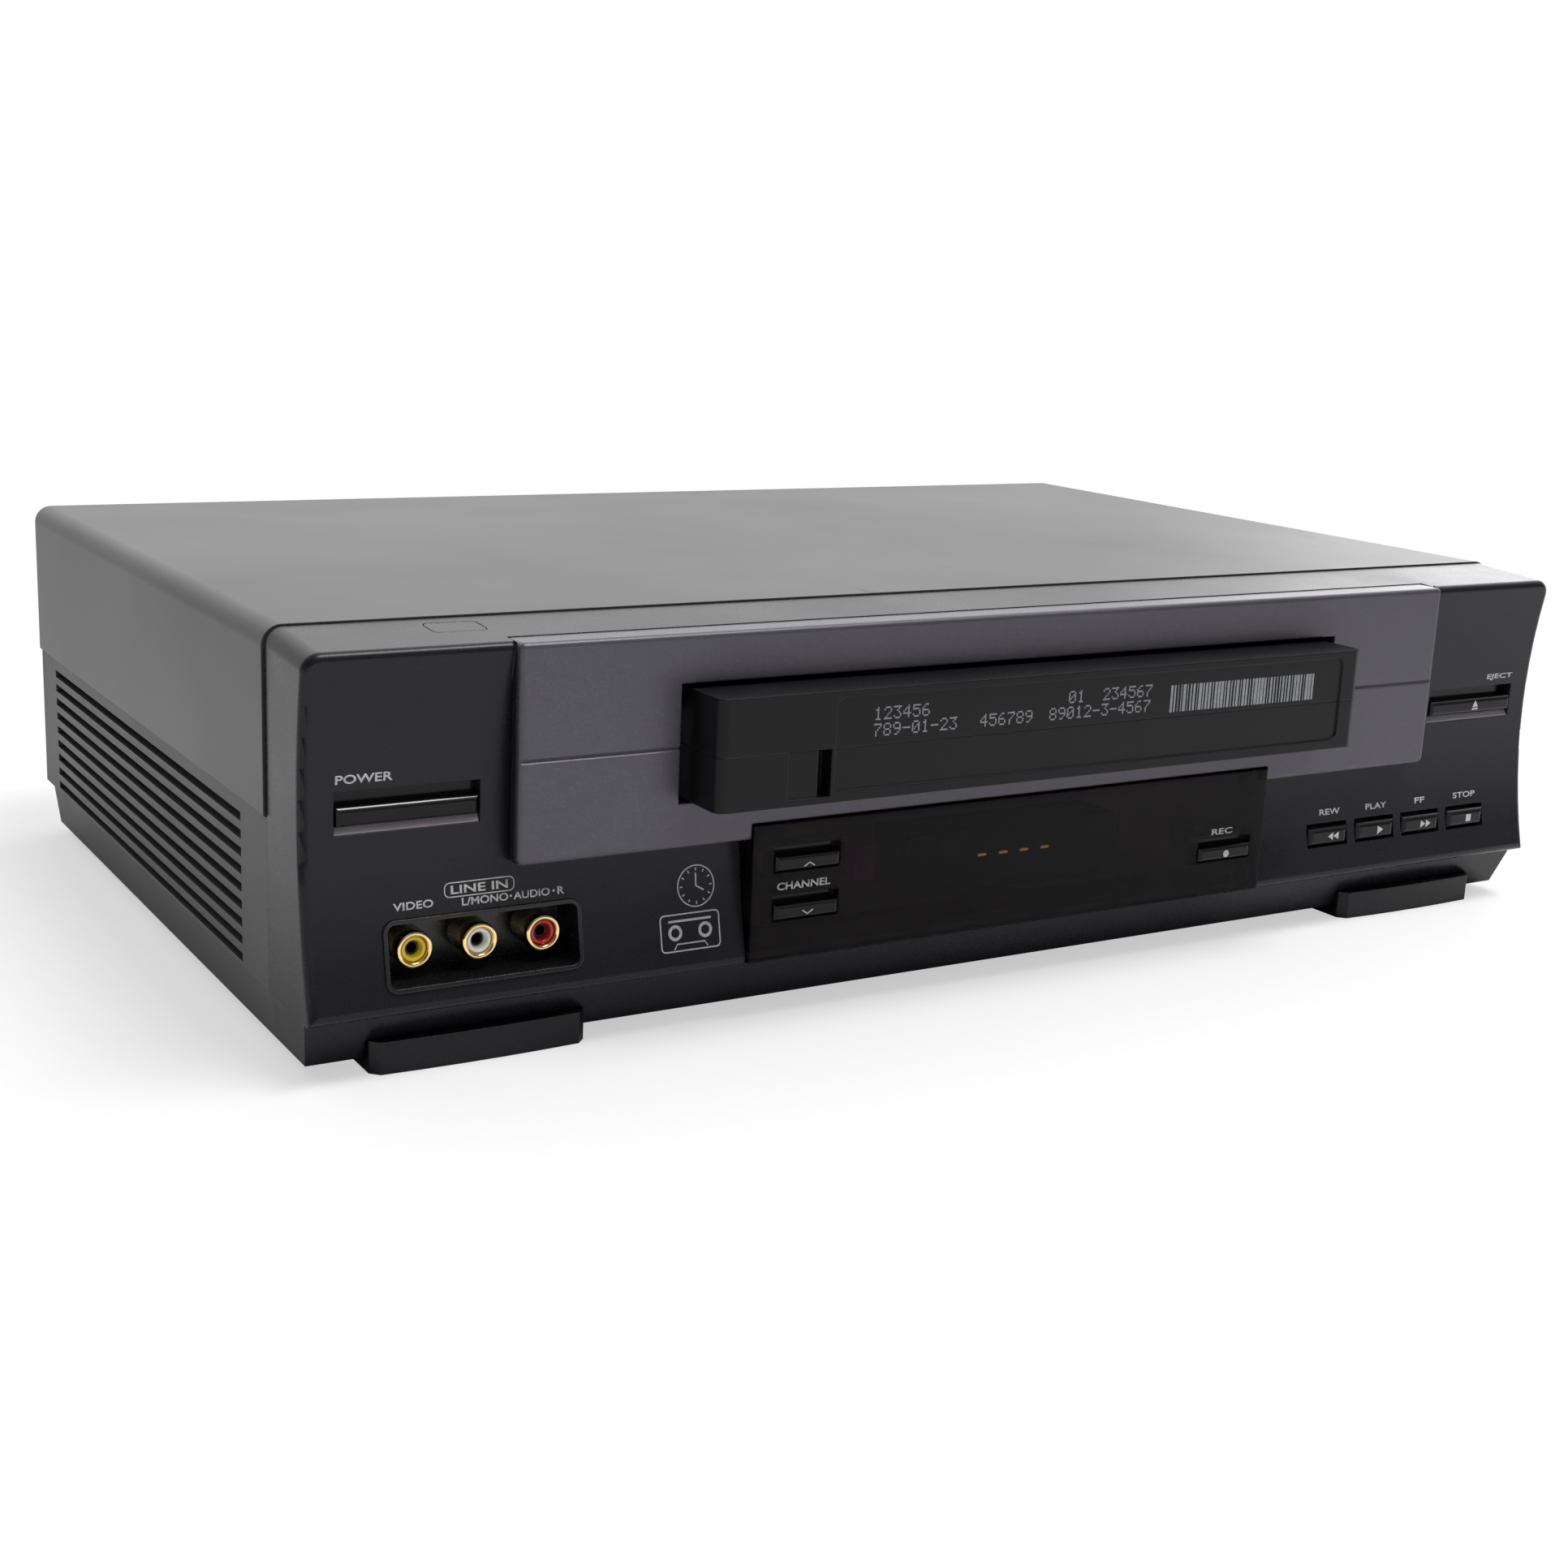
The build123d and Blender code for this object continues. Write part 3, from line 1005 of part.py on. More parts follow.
with BuildPart() as key_switches:
    for name, (x, width, low, height, face, sill, share) in KEYS.items():
        z = low + height / 2
        span(x - SWITCH / 2, x + SWITCH / 2, BOARD_Y - SWITCH_H, BOARD_Y, z - SWITCH / 2, z + SWITCH / 2)
save(key_switches, "key_switches")

with BuildPart() as display_tube:
    span(-TUBE_W / 2, TUBE_W / 2, BOARD_Y, TUBE_FACE, TUBE_Z - TUBE_H / 2, TUBE_Z + TUBE_H / 2)
    fillet(display_tube.edges().filter_by(Axis.Y), TUBE_ROUND)
save(display_tube, "display_tube")

# ================================================================ tape deck, fixed parts
with BuildPart() as deck_plate:
    # plate with bearing housings, fixed pins and the guides' slots
    span(-DECK_HALF, DECK_HALF, DECK_FRONT_Y, DECK_BACK_Y, DECK_Z, DECK_TOP)
    upright(CAPSTAN_X, CAPSTAN_Y, DECK_TOP, DECK_TOP + BEARING_H, BEARING_R)
    upright(CAPSTAN_X, CAPSTAN_Y, 0, HEIGHT, CAPSTAN_R + RUN_FIT, Mode.SUBTRACT)
    for x, y in FIXED_PINS:
        upright(x, y, DECK_TOP, DECK_TOP + PIN_H, TABLE_PIN_R)
    for side in (-1, 1):
        with BuildSketch(Plane.XY.offset(HEIGHT)):
            with Locations((side * (GUIDE_X0 + GUIDE_X1) / 2, (GUIDE_Y0 + GUIDE_Y1) / 2)):
                SlotCenterToCenter(GUIDE_LENGTH, GUIDE_SLOT, rotation=side * GUIDE_ANGLE)
        extrude(amount=-HEIGHT, mode=Mode.SUBTRACT)
save(deck_plate, "deck_plate")

with BuildPart() as carriage_frame:
    # two upright sides and the bridge over them, with a shelf for the motor
    for side in (-1, 1):
        span(side * FRAME_HALF, side * (FRAME_HALF + PLATE_T), FRAME_FRONT_Y, FRAME_BACK_Y, DECK_TOP, FRAME_TOP_Z)
    span(-FRAME_HALF - PLATE_T, FRAME_HALF + PLATE_T, BRIDGE_Y0, BRIDGE_Y1, FRAME_TOP_Z, FRAME_TOP_Z + PLATE_T)
    span(FRAME_HALF, MOTOR_X + MOTOR_R, MOTOR_Y0, MOTOR_Y1, SHELF_Z, SHELF_Z + PLATE_T)
    span(-WIDTH, WIDTH, LUG_FRONT_Y - LUG_GAP, LUG_FRONT_Y + LUG_SPREAD + LUG_LENGTH + CARRIAGE_TRAVEL + LUG_GAP,
         GUIDE_Z - GUIDE_H / 2, GUIDE_Z + GUIDE_H / 2, Mode.SUBTRACT)
    along_x(SHAFT_Y, SHAFT_Z, -HALF, HALF, SHAFT_R + RUN_FIT, Mode.SUBTRACT)
save(carriage_frame, "carriage_frame")

drum_plane = Plane(
    origin=(0, DRUM_Y, DECK_TOP), x_dir=(1, 0, 0),
    z_dir=(0, math.sin(math.radians(DRUM_TILT)), math.cos(math.radians(DRUM_TILT))),
)
with BuildPart() as lower_drum:
    with BuildSketch(drum_plane.offset(-DRUM_BURY)):
        Circle(DRUM_R)
    extrude(amount=DRUM_BURY + DRUM_LOW_H)
    split(bisect_by=Plane.XY.offset(DECK_TOP), keep=Keep.TOP)
    with BuildSketch(drum_plane.offset(DRUM_SHAFT_LOW)):
        Circle(DRUM_SHAFT_R + RUN_FIT)
    extrude(amount=DRUM_LOW_H, mode=Mode.SUBTRACT)
save(lower_drum, "lower_drum")

with BuildPart() as upper_drum:
    with BuildSketch(drum_plane.offset(DRUM_LOW_H + DRUM_GAP)):
        Circle(DRUM_R)
    extrude(amount=DRUM_TOP_H)
    with BuildSketch(drum_plane.offset(DRUM_LOW_H + DRUM_GAP + DRUM_TOP_H)):
        Circle(DISH_R)
        Circle(DRUM_HUB_R, mode=Mode.SUBTRACT)
    extrude(amount=-DISH_DEPTH, mode=Mode.SUBTRACT)
    with BuildSketch(drum_plane.offset(DRUM_SHAFT_LOW + DRUM_GAP)):
        Circle(DRUM_SHAFT_R)
    extrude(amount=DRUM_LOW_H - DRUM_SHAFT_LOW)
save(upper_drum, "upper_drum")

with BuildPart() as tape_heads:
    # full erase head on the left, audio and control head on the right
    for x, y in HEADS:
        span(x - HEAD_W / 2, x + HEAD_W / 2, y - HEAD_W / 2, y + HEAD_W / 2, DECK_TOP, DECK_TOP + HEAD_LIFT)
        span(x - HEAD_TIP, x + HEAD_TIP, y - HEAD_W / 2, y + HEAD_TIP, DECK_TOP + HEAD_LIFT, DECK_TOP + HEAD_H)
save(tape_heads, "tape_heads")

with BuildPart() as loading_motor:
    along_y(MOTOR_X, MOTOR_Z, MOTOR_Y0, MOTOR_Y1, MOTOR_R)
    span(MOTOR_X - MOTOR_R / 2, MOTOR_X + MOTOR_R / 2, MOTOR_Y0, MOTOR_Y1, SHELF_Z + PLATE_T, MOTOR_Z)
    along_y(MOTOR_X, MOTOR_Z, MOTOR_Y0 - 1, MOTOR_Y0 + MOTOR_BORE, WORM_SHAFT_R + RUN_FIT, Mode.SUBTRACT)
save(loading_motor, "loading_motor")

# ================================================================ tape deck, moving parts
with BuildPart() as loading_worm:
    along_y(MOTOR_X, MOTOR_Z, SHAFT_Y - WORM_LENGTH / 2, SHAFT_Y + WORM_LENGTH / 2, WORM_R)
    along_y(MOTOR_X, MOTOR_Z, SHAFT_Y + WORM_LENGTH / 2, MOTOR_Y0 + MOTOR_BORE - 1, WORM_SHAFT_R)
save(loading_worm, "loading_worm")

with BuildPart() as loading_shaft:
    # shaft with a pinion over each rack and the worm wheel at its right end
    along_x(SHAFT_Y, SHAFT_Z, -RACK_X1 - PLATE_T, MOTOR_X + PINION_W / 2, SHAFT_R)
    for x0, x1, radius in (
        (-RACK_X1, -RACK_X0, PINION_R), (RACK_X0, RACK_X1, PINION_R),
        (MOTOR_X - PINION_W / 2, MOTOR_X + PINION_W / 2, WHEEL_R),
    ):
        along_x(SHAFT_Y, SHAFT_Z, x0, x1, radius)
        with Locations(Location(((x0 + x1) / 2, SHAFT_Y, SHAFT_Z), (0, 90, 0))):
            with PolarLocations(radius, PINION_TEETH):
                Box(TOOTH_GAP, TOOTH_GAP, x1 - x0 + 1, mode=Mode.SUBTRACT)
save(loading_shaft, "loading_shaft")

with BuildPart() as cassette_carriage:
    # tray with sides and a top strap, lugs through the frame's slots, a rack outside each side
    inner_half = TAPE_W / 2 + CARRIAGE_GAP
    tray_top = TAPE_Z - FIT
    strap_z = TAPE_TOP_Z + CARRIAGE_GAP
    span(-inner_half - PLATE_T, inner_half + PLATE_T, CARRIAGE_Y0, CARRIAGE_Y1, tray_top - PLATE_T, tray_top)
    for side in (-1, 1):
        span(side * (REEL_X - HUB_R - TRAY_HOLE_LAP), side * (REEL_X + HUB_R + TRAY_HOLE_LAP),
             REEL_Y - HUB_R, REEL_Y + HUB_R, 0, TAPE_Z, Mode.SUBTRACT)
        span(side * inner_half, side * (inner_half + PLATE_T), CARRIAGE_Y0, STRAP_Y0,
             tray_top - PLATE_T, TAPE_TOP_Z - FLAP_ROOM)
        span(side * inner_half, side * (inner_half + PLATE_T), STRAP_Y0, CARRIAGE_Y1, tray_top - PLATE_T, strap_z)
        for y in (LUG_FRONT_Y, LUG_FRONT_Y + LUG_SPREAD):
            span(side * inner_half, side * RACK_X0, y, y + LUG_LENGTH,
                 GUIDE_Z - GUIDE_H / 2 + LUG_GAP, GUIDE_Z + GUIDE_H / 2 - LUG_GAP)
        span(side * (RACK_X0 - RACK_PLATE_T), side * RACK_X0, LUG_FRONT_Y, LUG_FRONT_Y + LUG_SPREAD + LUG_LENGTH,
             GUIDE_Z - GUIDE_H / 2 + LUG_GAP, RACK_TOP_Z - RACK_H / 2)
        span(side * (RACK_X0 - RACK_PLATE_T), side * RACK_X1, RACK_Y0, RACK_Y1, RACK_TOP_Z - RACK_H, RACK_TOP_Z)
        teeth = int((RACK_Y1 - RACK_Y0) // RACK_PITCH)
        for number in range(1, teeth):
            y = RACK_Y0 + number * RACK_PITCH
            span(side * (RACK_X0 - RACK_PLATE_T - 1), side * (RACK_X1 + 1), y - TOOTH_GAP / 2, y + TOOTH_GAP / 2,
                 RACK_TOP_Z - TOOTH_GAP / 2, RACK_TOP_Z + 1, Mode.SUBTRACT)
    span(-inner_half - PLATE_T, inner_half + PLATE_T, STRAP_Y0, STRAP_Y1, strap_z, strap_z + PLATE_T)
save(cassette_carriage, "cassette_carriage")

with BuildPart() as cassette_flap:
    # the slot's door, swung in over the cassette
    span(-FLAP_HALF, FLAP_HALF, FLAP_Y, FLAP_Y + FLAP_LENGTH, FLAP_Z - FLAP_T, FLAP_Z)
    span(-FLAP_HALF, FLAP_HALF, FLAP_Y - FLAP_T, FLAP_Y + FLAP_T, FLAP_Z - FLAP_T, FLAP_Z + 2 * FLAP_T)
    along_x(FLAP_Y, FLAP_PIVOT_Z, -FLAP_HALF - FLAP_PIN_L, FLAP_HALF + FLAP_PIN_L, FLAP_PIN_R)
save(cassette_flap, "cassette_flap")

with BuildPart() as capstan_flywheel:
    upright(CAPSTAN_X, CAPSTAN_Y, FLYWHEEL_Z, FLYWHEEL_Z + FLYWHEEL_H, FLYWHEEL_R)
    upright(CAPSTAN_X, CAPSTAN_Y, FLYWHEEL_Z, DECK_TOP + CAPSTAN_H, CAPSTAN_R)
save(capstan_flywheel, "capstan_flywheel")

pinch_roller_x = PINCH_X + PINCH_ARM * math.cos(math.radians(PINCH_REST))
pinch_roller_y = PINCH_Y + PINCH_ARM * math.sin(math.radians(PINCH_REST))
with BuildPart() as pinch_arm:
    arm_z = DECK_TOP + LUG_GAP
    upright(PINCH_X, PINCH_Y, arm_z, arm_z + ARM_BOSS_H, ARM_BOSS_R)
    with BuildSketch(Plane.XY.offset(arm_z)):
        with Locations(((PINCH_X + pinch_roller_x) / 2, (PINCH_Y + pinch_roller_y) / 2)):
            SlotCenterToCenter(PINCH_ARM, 2 * ARM_BOSS_R, rotation=PINCH_REST)
    extrude(amount=ARM_T)
    upright(pinch_roller_x, pinch_roller_y, arm_z, arm_z + ARM_T + ROLLER_H + 1, TABLE_PIN_R)
    upright(PINCH_X, PINCH_Y, 0, HEIGHT, TABLE_PIN_R + RUN_FIT, Mode.SUBTRACT)
save(pinch_arm, "pinch_arm")

with BuildPart() as pinch_roller:
    roller_z = DECK_TOP + LUG_GAP + ARM_T + LUG_GAP
    upright(pinch_roller_x, pinch_roller_y, roller_z, roller_z + ROLLER_H, PINCH_R)
    upright(pinch_roller_x, pinch_roller_y, 0, HEIGHT, TABLE_PIN_R + RUN_FIT, Mode.SUBTRACT)
save(pinch_roller, "pinch_roller")

for side, name in ((-1, "supply_table"), (1, "takeup_table")):
    with BuildPart() as table:
        base_z = DECK_TOP + LUG_GAP
        upright(side * REEL_X, REEL_LOAD_Y, base_z, base_z + TABLE_H, TABLE_R)
        upright(side * REEL_X, REEL_LOAD_Y, base_z, base_z + SPINDLE_H, SPINDLE_R)
        with Locations((side * REEL_X, REEL_LOAD_Y, base_z + SPINDLE_H / 2)):
            with PolarLocations(SPINDLE_R, SPINDLE_KEYS):
                Box(2 * KEY_W, KEY_W, SPINDLE_H)
        upright(side * REEL_X, REEL_LOAD_Y, 0, HEIGHT, TABLE_PIN_R + RUN_FIT, Mode.SUBTRACT)
    save(table, name)

with BuildPart() as idler_arm:
    arm_z = DECK_TOP + LUG_GAP
    with BuildSketch(Plane.XY.offset(arm_z)):
        with Locations((0, (IDLER_Y + IDLER_WHEEL_Y) / 2)):
            SlotCenterToCenter(IDLER_WHEEL_Y - IDLER_Y, 2 * ARM_BOSS_R, rotation=90)
    extrude(amount=ARM_T)
    upright(0, IDLER_WHEEL_Y, arm_z, arm_z + ARM_T + IDLER_H + 1, TABLE_PIN_R)
    upright(0, IDLER_Y, arm_z, arm_z + ARM_BOSS_H, ARM_BOSS_R)
    upright(0, IDLER_Y, 0, HEIGHT, TABLE_PIN_R + RUN_FIT, Mode.SUBTRACT)
save(idler_arm, "idler_arm")

with BuildPart() as idler_wheel:
    wheel_z = DECK_TOP + LUG_GAP + ARM_T + LUG_GAP
    upright(0, IDLER_WHEEL_Y, wheel_z, wheel_z + IDLER_H, IDLER_R)
    upright(0, IDLER_WHEEL_Y, 0, HEIGHT, TABLE_PIN_R + RUN_FIT, Mode.SUBTRACT)
save(idler_wheel, "idler_wheel")

with BuildPart() as tension_arm:
    arm_z = DECK_TOP + LUG_GAP
    with BuildSketch(Plane.XY.offset(arm_z)):
        with Locations((TENSION_X + TENSION_ARM / 2, TENSION_Y)):
            SlotCenterToCenter(TENSION_ARM, 2 * ARM_BOSS_R)
    extrude(amount=ARM_T)
    upright(TENSION_X, TENSION_Y, arm_z, arm_z + ARM_BOSS_H, ARM_BOSS_R)
    upright(TENSION_X + TENSION_ARM, TENSION_Y, arm_z, arm_z + POST_H, TABLE_PIN_R)
    upright(TENSION_X, TENSION_Y, 0, HEIGHT, TABLE_PIN_R + RUN_FIT, Mode.SUBTRACT)
save(tension_arm, "tension_arm")

for side, name in ((-1, "supply_guide"), (1, "takeup_guide")):
    with BuildPart() as guide:
        # slider on the deck, tongue in its slot, post with a flanged roller
        base_z = DECK_TOP + LUG_GAP
        x, y = side * GUIDE_X0, GUIDE_Y0
        upright(x, y, base_z, base_z + ARM_T, GUIDE_BASE_R)
        upright(x, y, DECK_Z - LUG_GAP, base_z, GUIDE_SLOT / 2 - LUG_GAP)
        upright(x, y, base_z, base_z + POST_H, TABLE_PIN_R)
        upright(x, y, base_z + ARM_T, base_z + POST_H - 2, GUIDE_ROLLER_R)
    save(guide, name)

# ================================================================ cassette
for name, low, high, in_low, in_high in (
    ("cassette_lower_shell", TAPE_Z, TAPE_SPLIT_Z, TAPE_Z + TAPE_WALL, TAPE_SPLIT_Z),
    ("cassette_upper_shell", TAPE_SPLIT_Z, TAPE_TOP_Z, TAPE_SPLIT_Z, TAPE_TOP_Z - TAPE_WALL),
):
    with BuildPart() as shell:
        with BuildSketch(Plane.XY.offset(low)) as outline:
            with Locations((0, (SHELL_NECK_Y - TAPE_FRONT) / 2)):
                Rectangle(TAPE_W, SHELL_NECK_Y + TAPE_FRONT)
            with Locations((0, (SHELL_BACK_Y - TAPE_FRONT) / 2)):
                Rectangle(2 * SHELL_NECK_HALF, SHELL_BACK_Y + TAPE_FRONT)
            fillet(outline.vertices().group_by(Axis.Y)[0].sort_by(Axis.X)[0], TAPE_CORNER)
            fillet(outline.vertices().group_by(Axis.Y)[0].sort_by(Axis.X)[-1], TAPE_CORNER)
        extrude(amount=high - low)
        # the reels' chamber and the open space behind the lid
        span(TAPE_WALL - TAPE_W / 2, TAPE_W / 2 - TAPE_WALL, TAPE_WALL - TAPE_FRONT, CHAMBER_Y,
             in_low, in_high, Mode.SUBTRACT)
        neck = SHELL_NECK_HALF - TAPE_WALL
        span(-neck, neck, 0, CHAMBER_BACK_Y, in_low, in_high, Mode.SUBTRACT)
        span(-neck, neck, CHAMBER_BACK_Y + TAPE_WALL, SHELL_BACK_Y + 1, in_low, HEIGHT, Mode.SUBTRACT)
        span(-WIDTH, WIDTH, SHELL_TOP_Y, SHELL_BACK_Y + 1, SHELL_RIM_Z, HEIGHT, Mode.SUBTRACT)
        for x, y in SHELL_POSTS:
            upright(x, y, low, high, SHELL_POST_R)
        # label recess on the spine
        with BuildSketch(Plane.XZ.offset(TAPE_FRONT)):
            with Locations(((LABEL_X0 + LABEL_X1) / 2, (LABEL_LOW_Z + LABEL_TOP_Z) / 2)):
                RectangleRounded(LABEL_X1 - LABEL_X0, LABEL_TOP_Z - LABEL_LOW_Z, LABEL_CORNER)
        extrude(amount=-LABEL_DEPTH, mode=Mode.SUBTRACT)
        if low == TAPE_Z:
            # record tab with its pocket, holes for the drive spindles, lamp and threading posts
            span(TAB_X1 - TAB_SLOT - TAPE_WALL, TAB_X1 + TAPE_WALL, 1 - TAPE_FRONT,
                 TAB_DEPTH + 1 - TAPE_FRONT, low, high)
            span(TAB_X0, TAB_X1, -TAPE_FRONT - 1, LABEL_DEPTH - TAPE_FRONT, TAB_LOW_Z, high, Mode.SUBTRACT)
            span(TAB_X1 - TAB_SLOT, TAB_X1, -TAPE_FRONT - 1, TAB_DEPTH - TAPE_FRONT, TAB_LOW_Z, high,
                 Mode.SUBTRACT)
            upright(0, LAMP_HOLE_Y, 0, high, LAMP_HOLE_R, Mode.SUBTRACT)
            for side in (-1, 1):
                upright(side * REEL_X, REEL_Y, 0, high, REEL_HOLE_R, Mode.SUBTRACT)
                span(side * THREAD_IN, side * THREAD_OUT, THREAD_Y, SHELL_BACK_Y + 1, 0, in_low, Mode.SUBTRACT)
        else:
            span(-TOP_LABEL_HALF, TOP_LABEL_HALF, TOP_LABEL_Y0, TOP_LABEL_Y1, high - LABEL_DEPTH, high + 1,
                 Mode.SUBTRACT)
            along_x(LID_PIVOT_Y, LID_PIVOT_Z, -HALF, HALF, LID_PIN_R + RUN_FIT, Mode.SUBTRACT)
        for x, y in SHELL_POSTS:
            upright(x, y, 0, TAPE_Z + HEAD_IN + TAPE_SCREW_L, TAPE_SCREW_R + RUN_FIT, Mode.SUBTRACT)
            upright(x, y, 0, TAPE_Z + HEAD_IN, TAPE_SCREW_HEAD_R + FIT, Mode.SUBTRACT)
    save(shell, name)

with BuildPart() as cassette_screws:
    for x, y in SHELL_POSTS:
        head_z = TAPE_Z + HEAD_IN
        upright(x, y, head_z, head_z + TAPE_SCREW_L - 1, TAPE_SCREW_R)
        upright(x, y, head_z - PLATE_T, head_z, TAPE_SCREW_HEAD_R)
        span(x - TAPE_SCREW_R, x + TAPE_SCREW_R, y - CROSS_W / 2, y + CROSS_W / 2, TAPE_Z, head_z - PLATE_T / 2,
             Mode.SUBTRACT)
        span(x - CROSS_W / 2, x + CROSS_W / 2, y - TAPE_SCREW_R, y + TAPE_SCREW_R, TAPE_Z, head_z - PLATE_T / 2,
             Mode.SUBTRACT)
save(cassette_screws, "cassette_screws")

with BuildPart() as cassette_lid:
    # front plate, top leaf and two ears with pins
    span(-TAPE_W / 2, TAPE_W / 2, TAPE_BACK_Y - LID_T, TAPE_BACK_Y, TAPE_Z, TAPE_TOP_Z)
    span(-TAPE_W / 2, TAPE_W / 2, LEAF_Y, TAPE_BACK_Y, TAPE_TOP_Z - LID_T, TAPE_TOP_Z)
    for side in (-1, 1):
        along_x(LID_PIVOT_Y, LID_PIVOT_Z, side * LID_EAR_X, side * TAPE_W / 2, LID_EAR_R)
        span(side * LID_EAR_X, side * TAPE_W / 2, LID_PIVOT_Y, TAPE_BACK_Y, LID_PIVOT_Z - LID_EAR_R,
             LID_PIVOT_Z + LID_EAR_R)
        along_x(LID_PIVOT_Y, LID_PIVOT_Z, side * (SHELL_NECK_HALF - TAPE_WALL), side * LID_EAR_X, LID_PIN_R)
save(cassette_lid, "cassette_lid")

for side, name in ((-1, "cassette_supply_reel"), (1, "cassette_takeup_reel")):
    with BuildPart() as reel:
        x = side * REEL_X
        foot_z = TAPE_Z + TAPE_WALL + LUG_GAP
        upright(x, REEL_Y, foot_z, TOP_FLANGE_Z + FLANGE_T, HUB_R)
        upright(x, REEL_Y, foot_z, foot_z + FLANGE_T, REEL_FOOT_R)
        upright(x, REEL_Y, LOW_FLANGE_Z, LOW_FLANGE_Z + FLANGE_T, FLANGE_R)
        upright(x, REEL_Y, TOP_FLANGE_Z, TOP_FLANGE_Z + FLANGE_T, FLANGE_R)
        upright(x, REEL_Y, 0, TOP_FLANGE_Z, REEL_BORE_R, Mode.SUBTRACT)
        with Locations((x, REEL_Y, (foot_z + TOP_FLANGE_Z) / 2)):
            with PolarLocations(REEL_BORE_R, REEL_KEYS):
                Box(3 * KEY_W, KEY_W, TOP_FLANGE_Z - foot_z)
    save(reel, name)

with BuildPart() as cassette_tape:
    # the wound tape, all of it on the supply reel
    middle_z = (LOW_FLANGE_Z + FLANGE_T + TOP_FLANGE_Z) / 2
    for radius, mode in ((TAPE_PACK_R, Mode.ADD), (HUB_R + RUN_FIT, Mode.SUBTRACT)):
        upright(-REEL_X, REEL_Y, middle_z - TAPE_WIDTH / 2, middle_z + TAPE_WIDTH / 2, radius, mode)
save(cassette_tape, "cassette_tape")
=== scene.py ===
# %% [markdown]
# # A front-loading video cassette recorder
# The recorder is a dark box with a raised grey front panel, a cassette standing a little out of its
# slot and a whole tape deck inside. Its solids come ready made from a CAD script, so this lesson
# adds what CAD leaves out: the finishes, the printed words and the small repeated parts. Starting
# from the fixed frame means that nothing here has to be fitted by eye.

# %% Open the frame
import json
import math
import random

import bmesh
import bpy
from mathutils import Matrix, Vector
from mathutils.bvhtree import BVHTree


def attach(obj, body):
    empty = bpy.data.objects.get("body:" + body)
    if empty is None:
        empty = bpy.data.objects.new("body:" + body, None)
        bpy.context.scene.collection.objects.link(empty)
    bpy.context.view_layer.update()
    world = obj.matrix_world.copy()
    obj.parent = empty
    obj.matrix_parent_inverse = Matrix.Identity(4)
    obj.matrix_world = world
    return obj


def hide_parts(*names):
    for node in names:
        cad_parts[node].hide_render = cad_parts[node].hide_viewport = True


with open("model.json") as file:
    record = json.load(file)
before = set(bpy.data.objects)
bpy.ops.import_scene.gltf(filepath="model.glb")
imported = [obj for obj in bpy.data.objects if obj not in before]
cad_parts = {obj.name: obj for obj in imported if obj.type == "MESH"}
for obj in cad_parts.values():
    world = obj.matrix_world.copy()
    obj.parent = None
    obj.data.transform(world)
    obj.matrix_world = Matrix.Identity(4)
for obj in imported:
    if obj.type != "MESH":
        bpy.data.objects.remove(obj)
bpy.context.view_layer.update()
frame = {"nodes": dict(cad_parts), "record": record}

# %% [markdown]
# The drawing measures in millimetres from the seam between the cover and the front moulding, with
# x to the right, y to the rear and z up from the floor. The frame is in metres with its origin
# under the middle of the machine. One short function turns a drawn point into a place in the frame.

# %% Millimetres to the frame
SEAM_Y = -85.6                # the seam, in the frame's own y


def at(x, y, z):
    """A point of the drawing, in metres in the frame."""
    return Vector((x, y + SEAM_Y, z)) / 1000


print("seam at", at(0, 0, 0))

# %% [markdown]
# The camera looks down a little from the front left with a normal lens. Its place is solved from the
# corners of the cover and the slot, and its frame is built from yaw, pitch and a small roll. It
# comes first, so that each later piece can be judged through it.

# %% Camera
def aim(place, yaw, pitch, roll):
    """A camera matrix from a place in metres and three angles in degrees."""
    yaw, pitch, roll = map(math.radians, (yaw, pitch, roll))
    ahead = Vector((math.sin(yaw) * math.cos(pitch), math.cos(yaw) * math.cos(pitch), -math.sin(pitch)))
    level = Vector((math.cos(yaw), -math.sin(yaw), 0))
    over = level.cross(ahead)
    right = level * math.cos(roll) + over * math.sin(roll)
    up = over * math.cos(roll) - level * math.sin(roll)
    turn = Matrix((right, up, -ahead)).transposed().to_4x4()
    return Matrix.Translation(place) @ turn


lens = bpy.data.cameras.new("view")
lens.lens, lens.sensor_width = 49.92, 36.0
lens.shift_x, lens.shift_y = 0.0193, 0.0014
camera = bpy.data.objects.new("view", lens)
camera.matrix_world = aim(place=(-0.3172, -0.5128, 0.1718), yaw=30.902, pitch=13.918, roll=2.379)
bpy.context.scene.collection.objects.link(camera)
bpy.context.scene.camera = camera
bpy.context.scene.view_settings.view_transform = "Standard"
print("camera at", camera.matrix_world.translation)

# %% [markdown]
# A node tree is easier to read as sums than as boxes and wires. A small class wraps a socket, so
# that plain Python operators add the maths nodes. One method makes any other node: it takes the
# node's type, its settings and then the values or links of its sockets. The same two classes serve
# the finishes and, further down, the trees that repeat a shape.

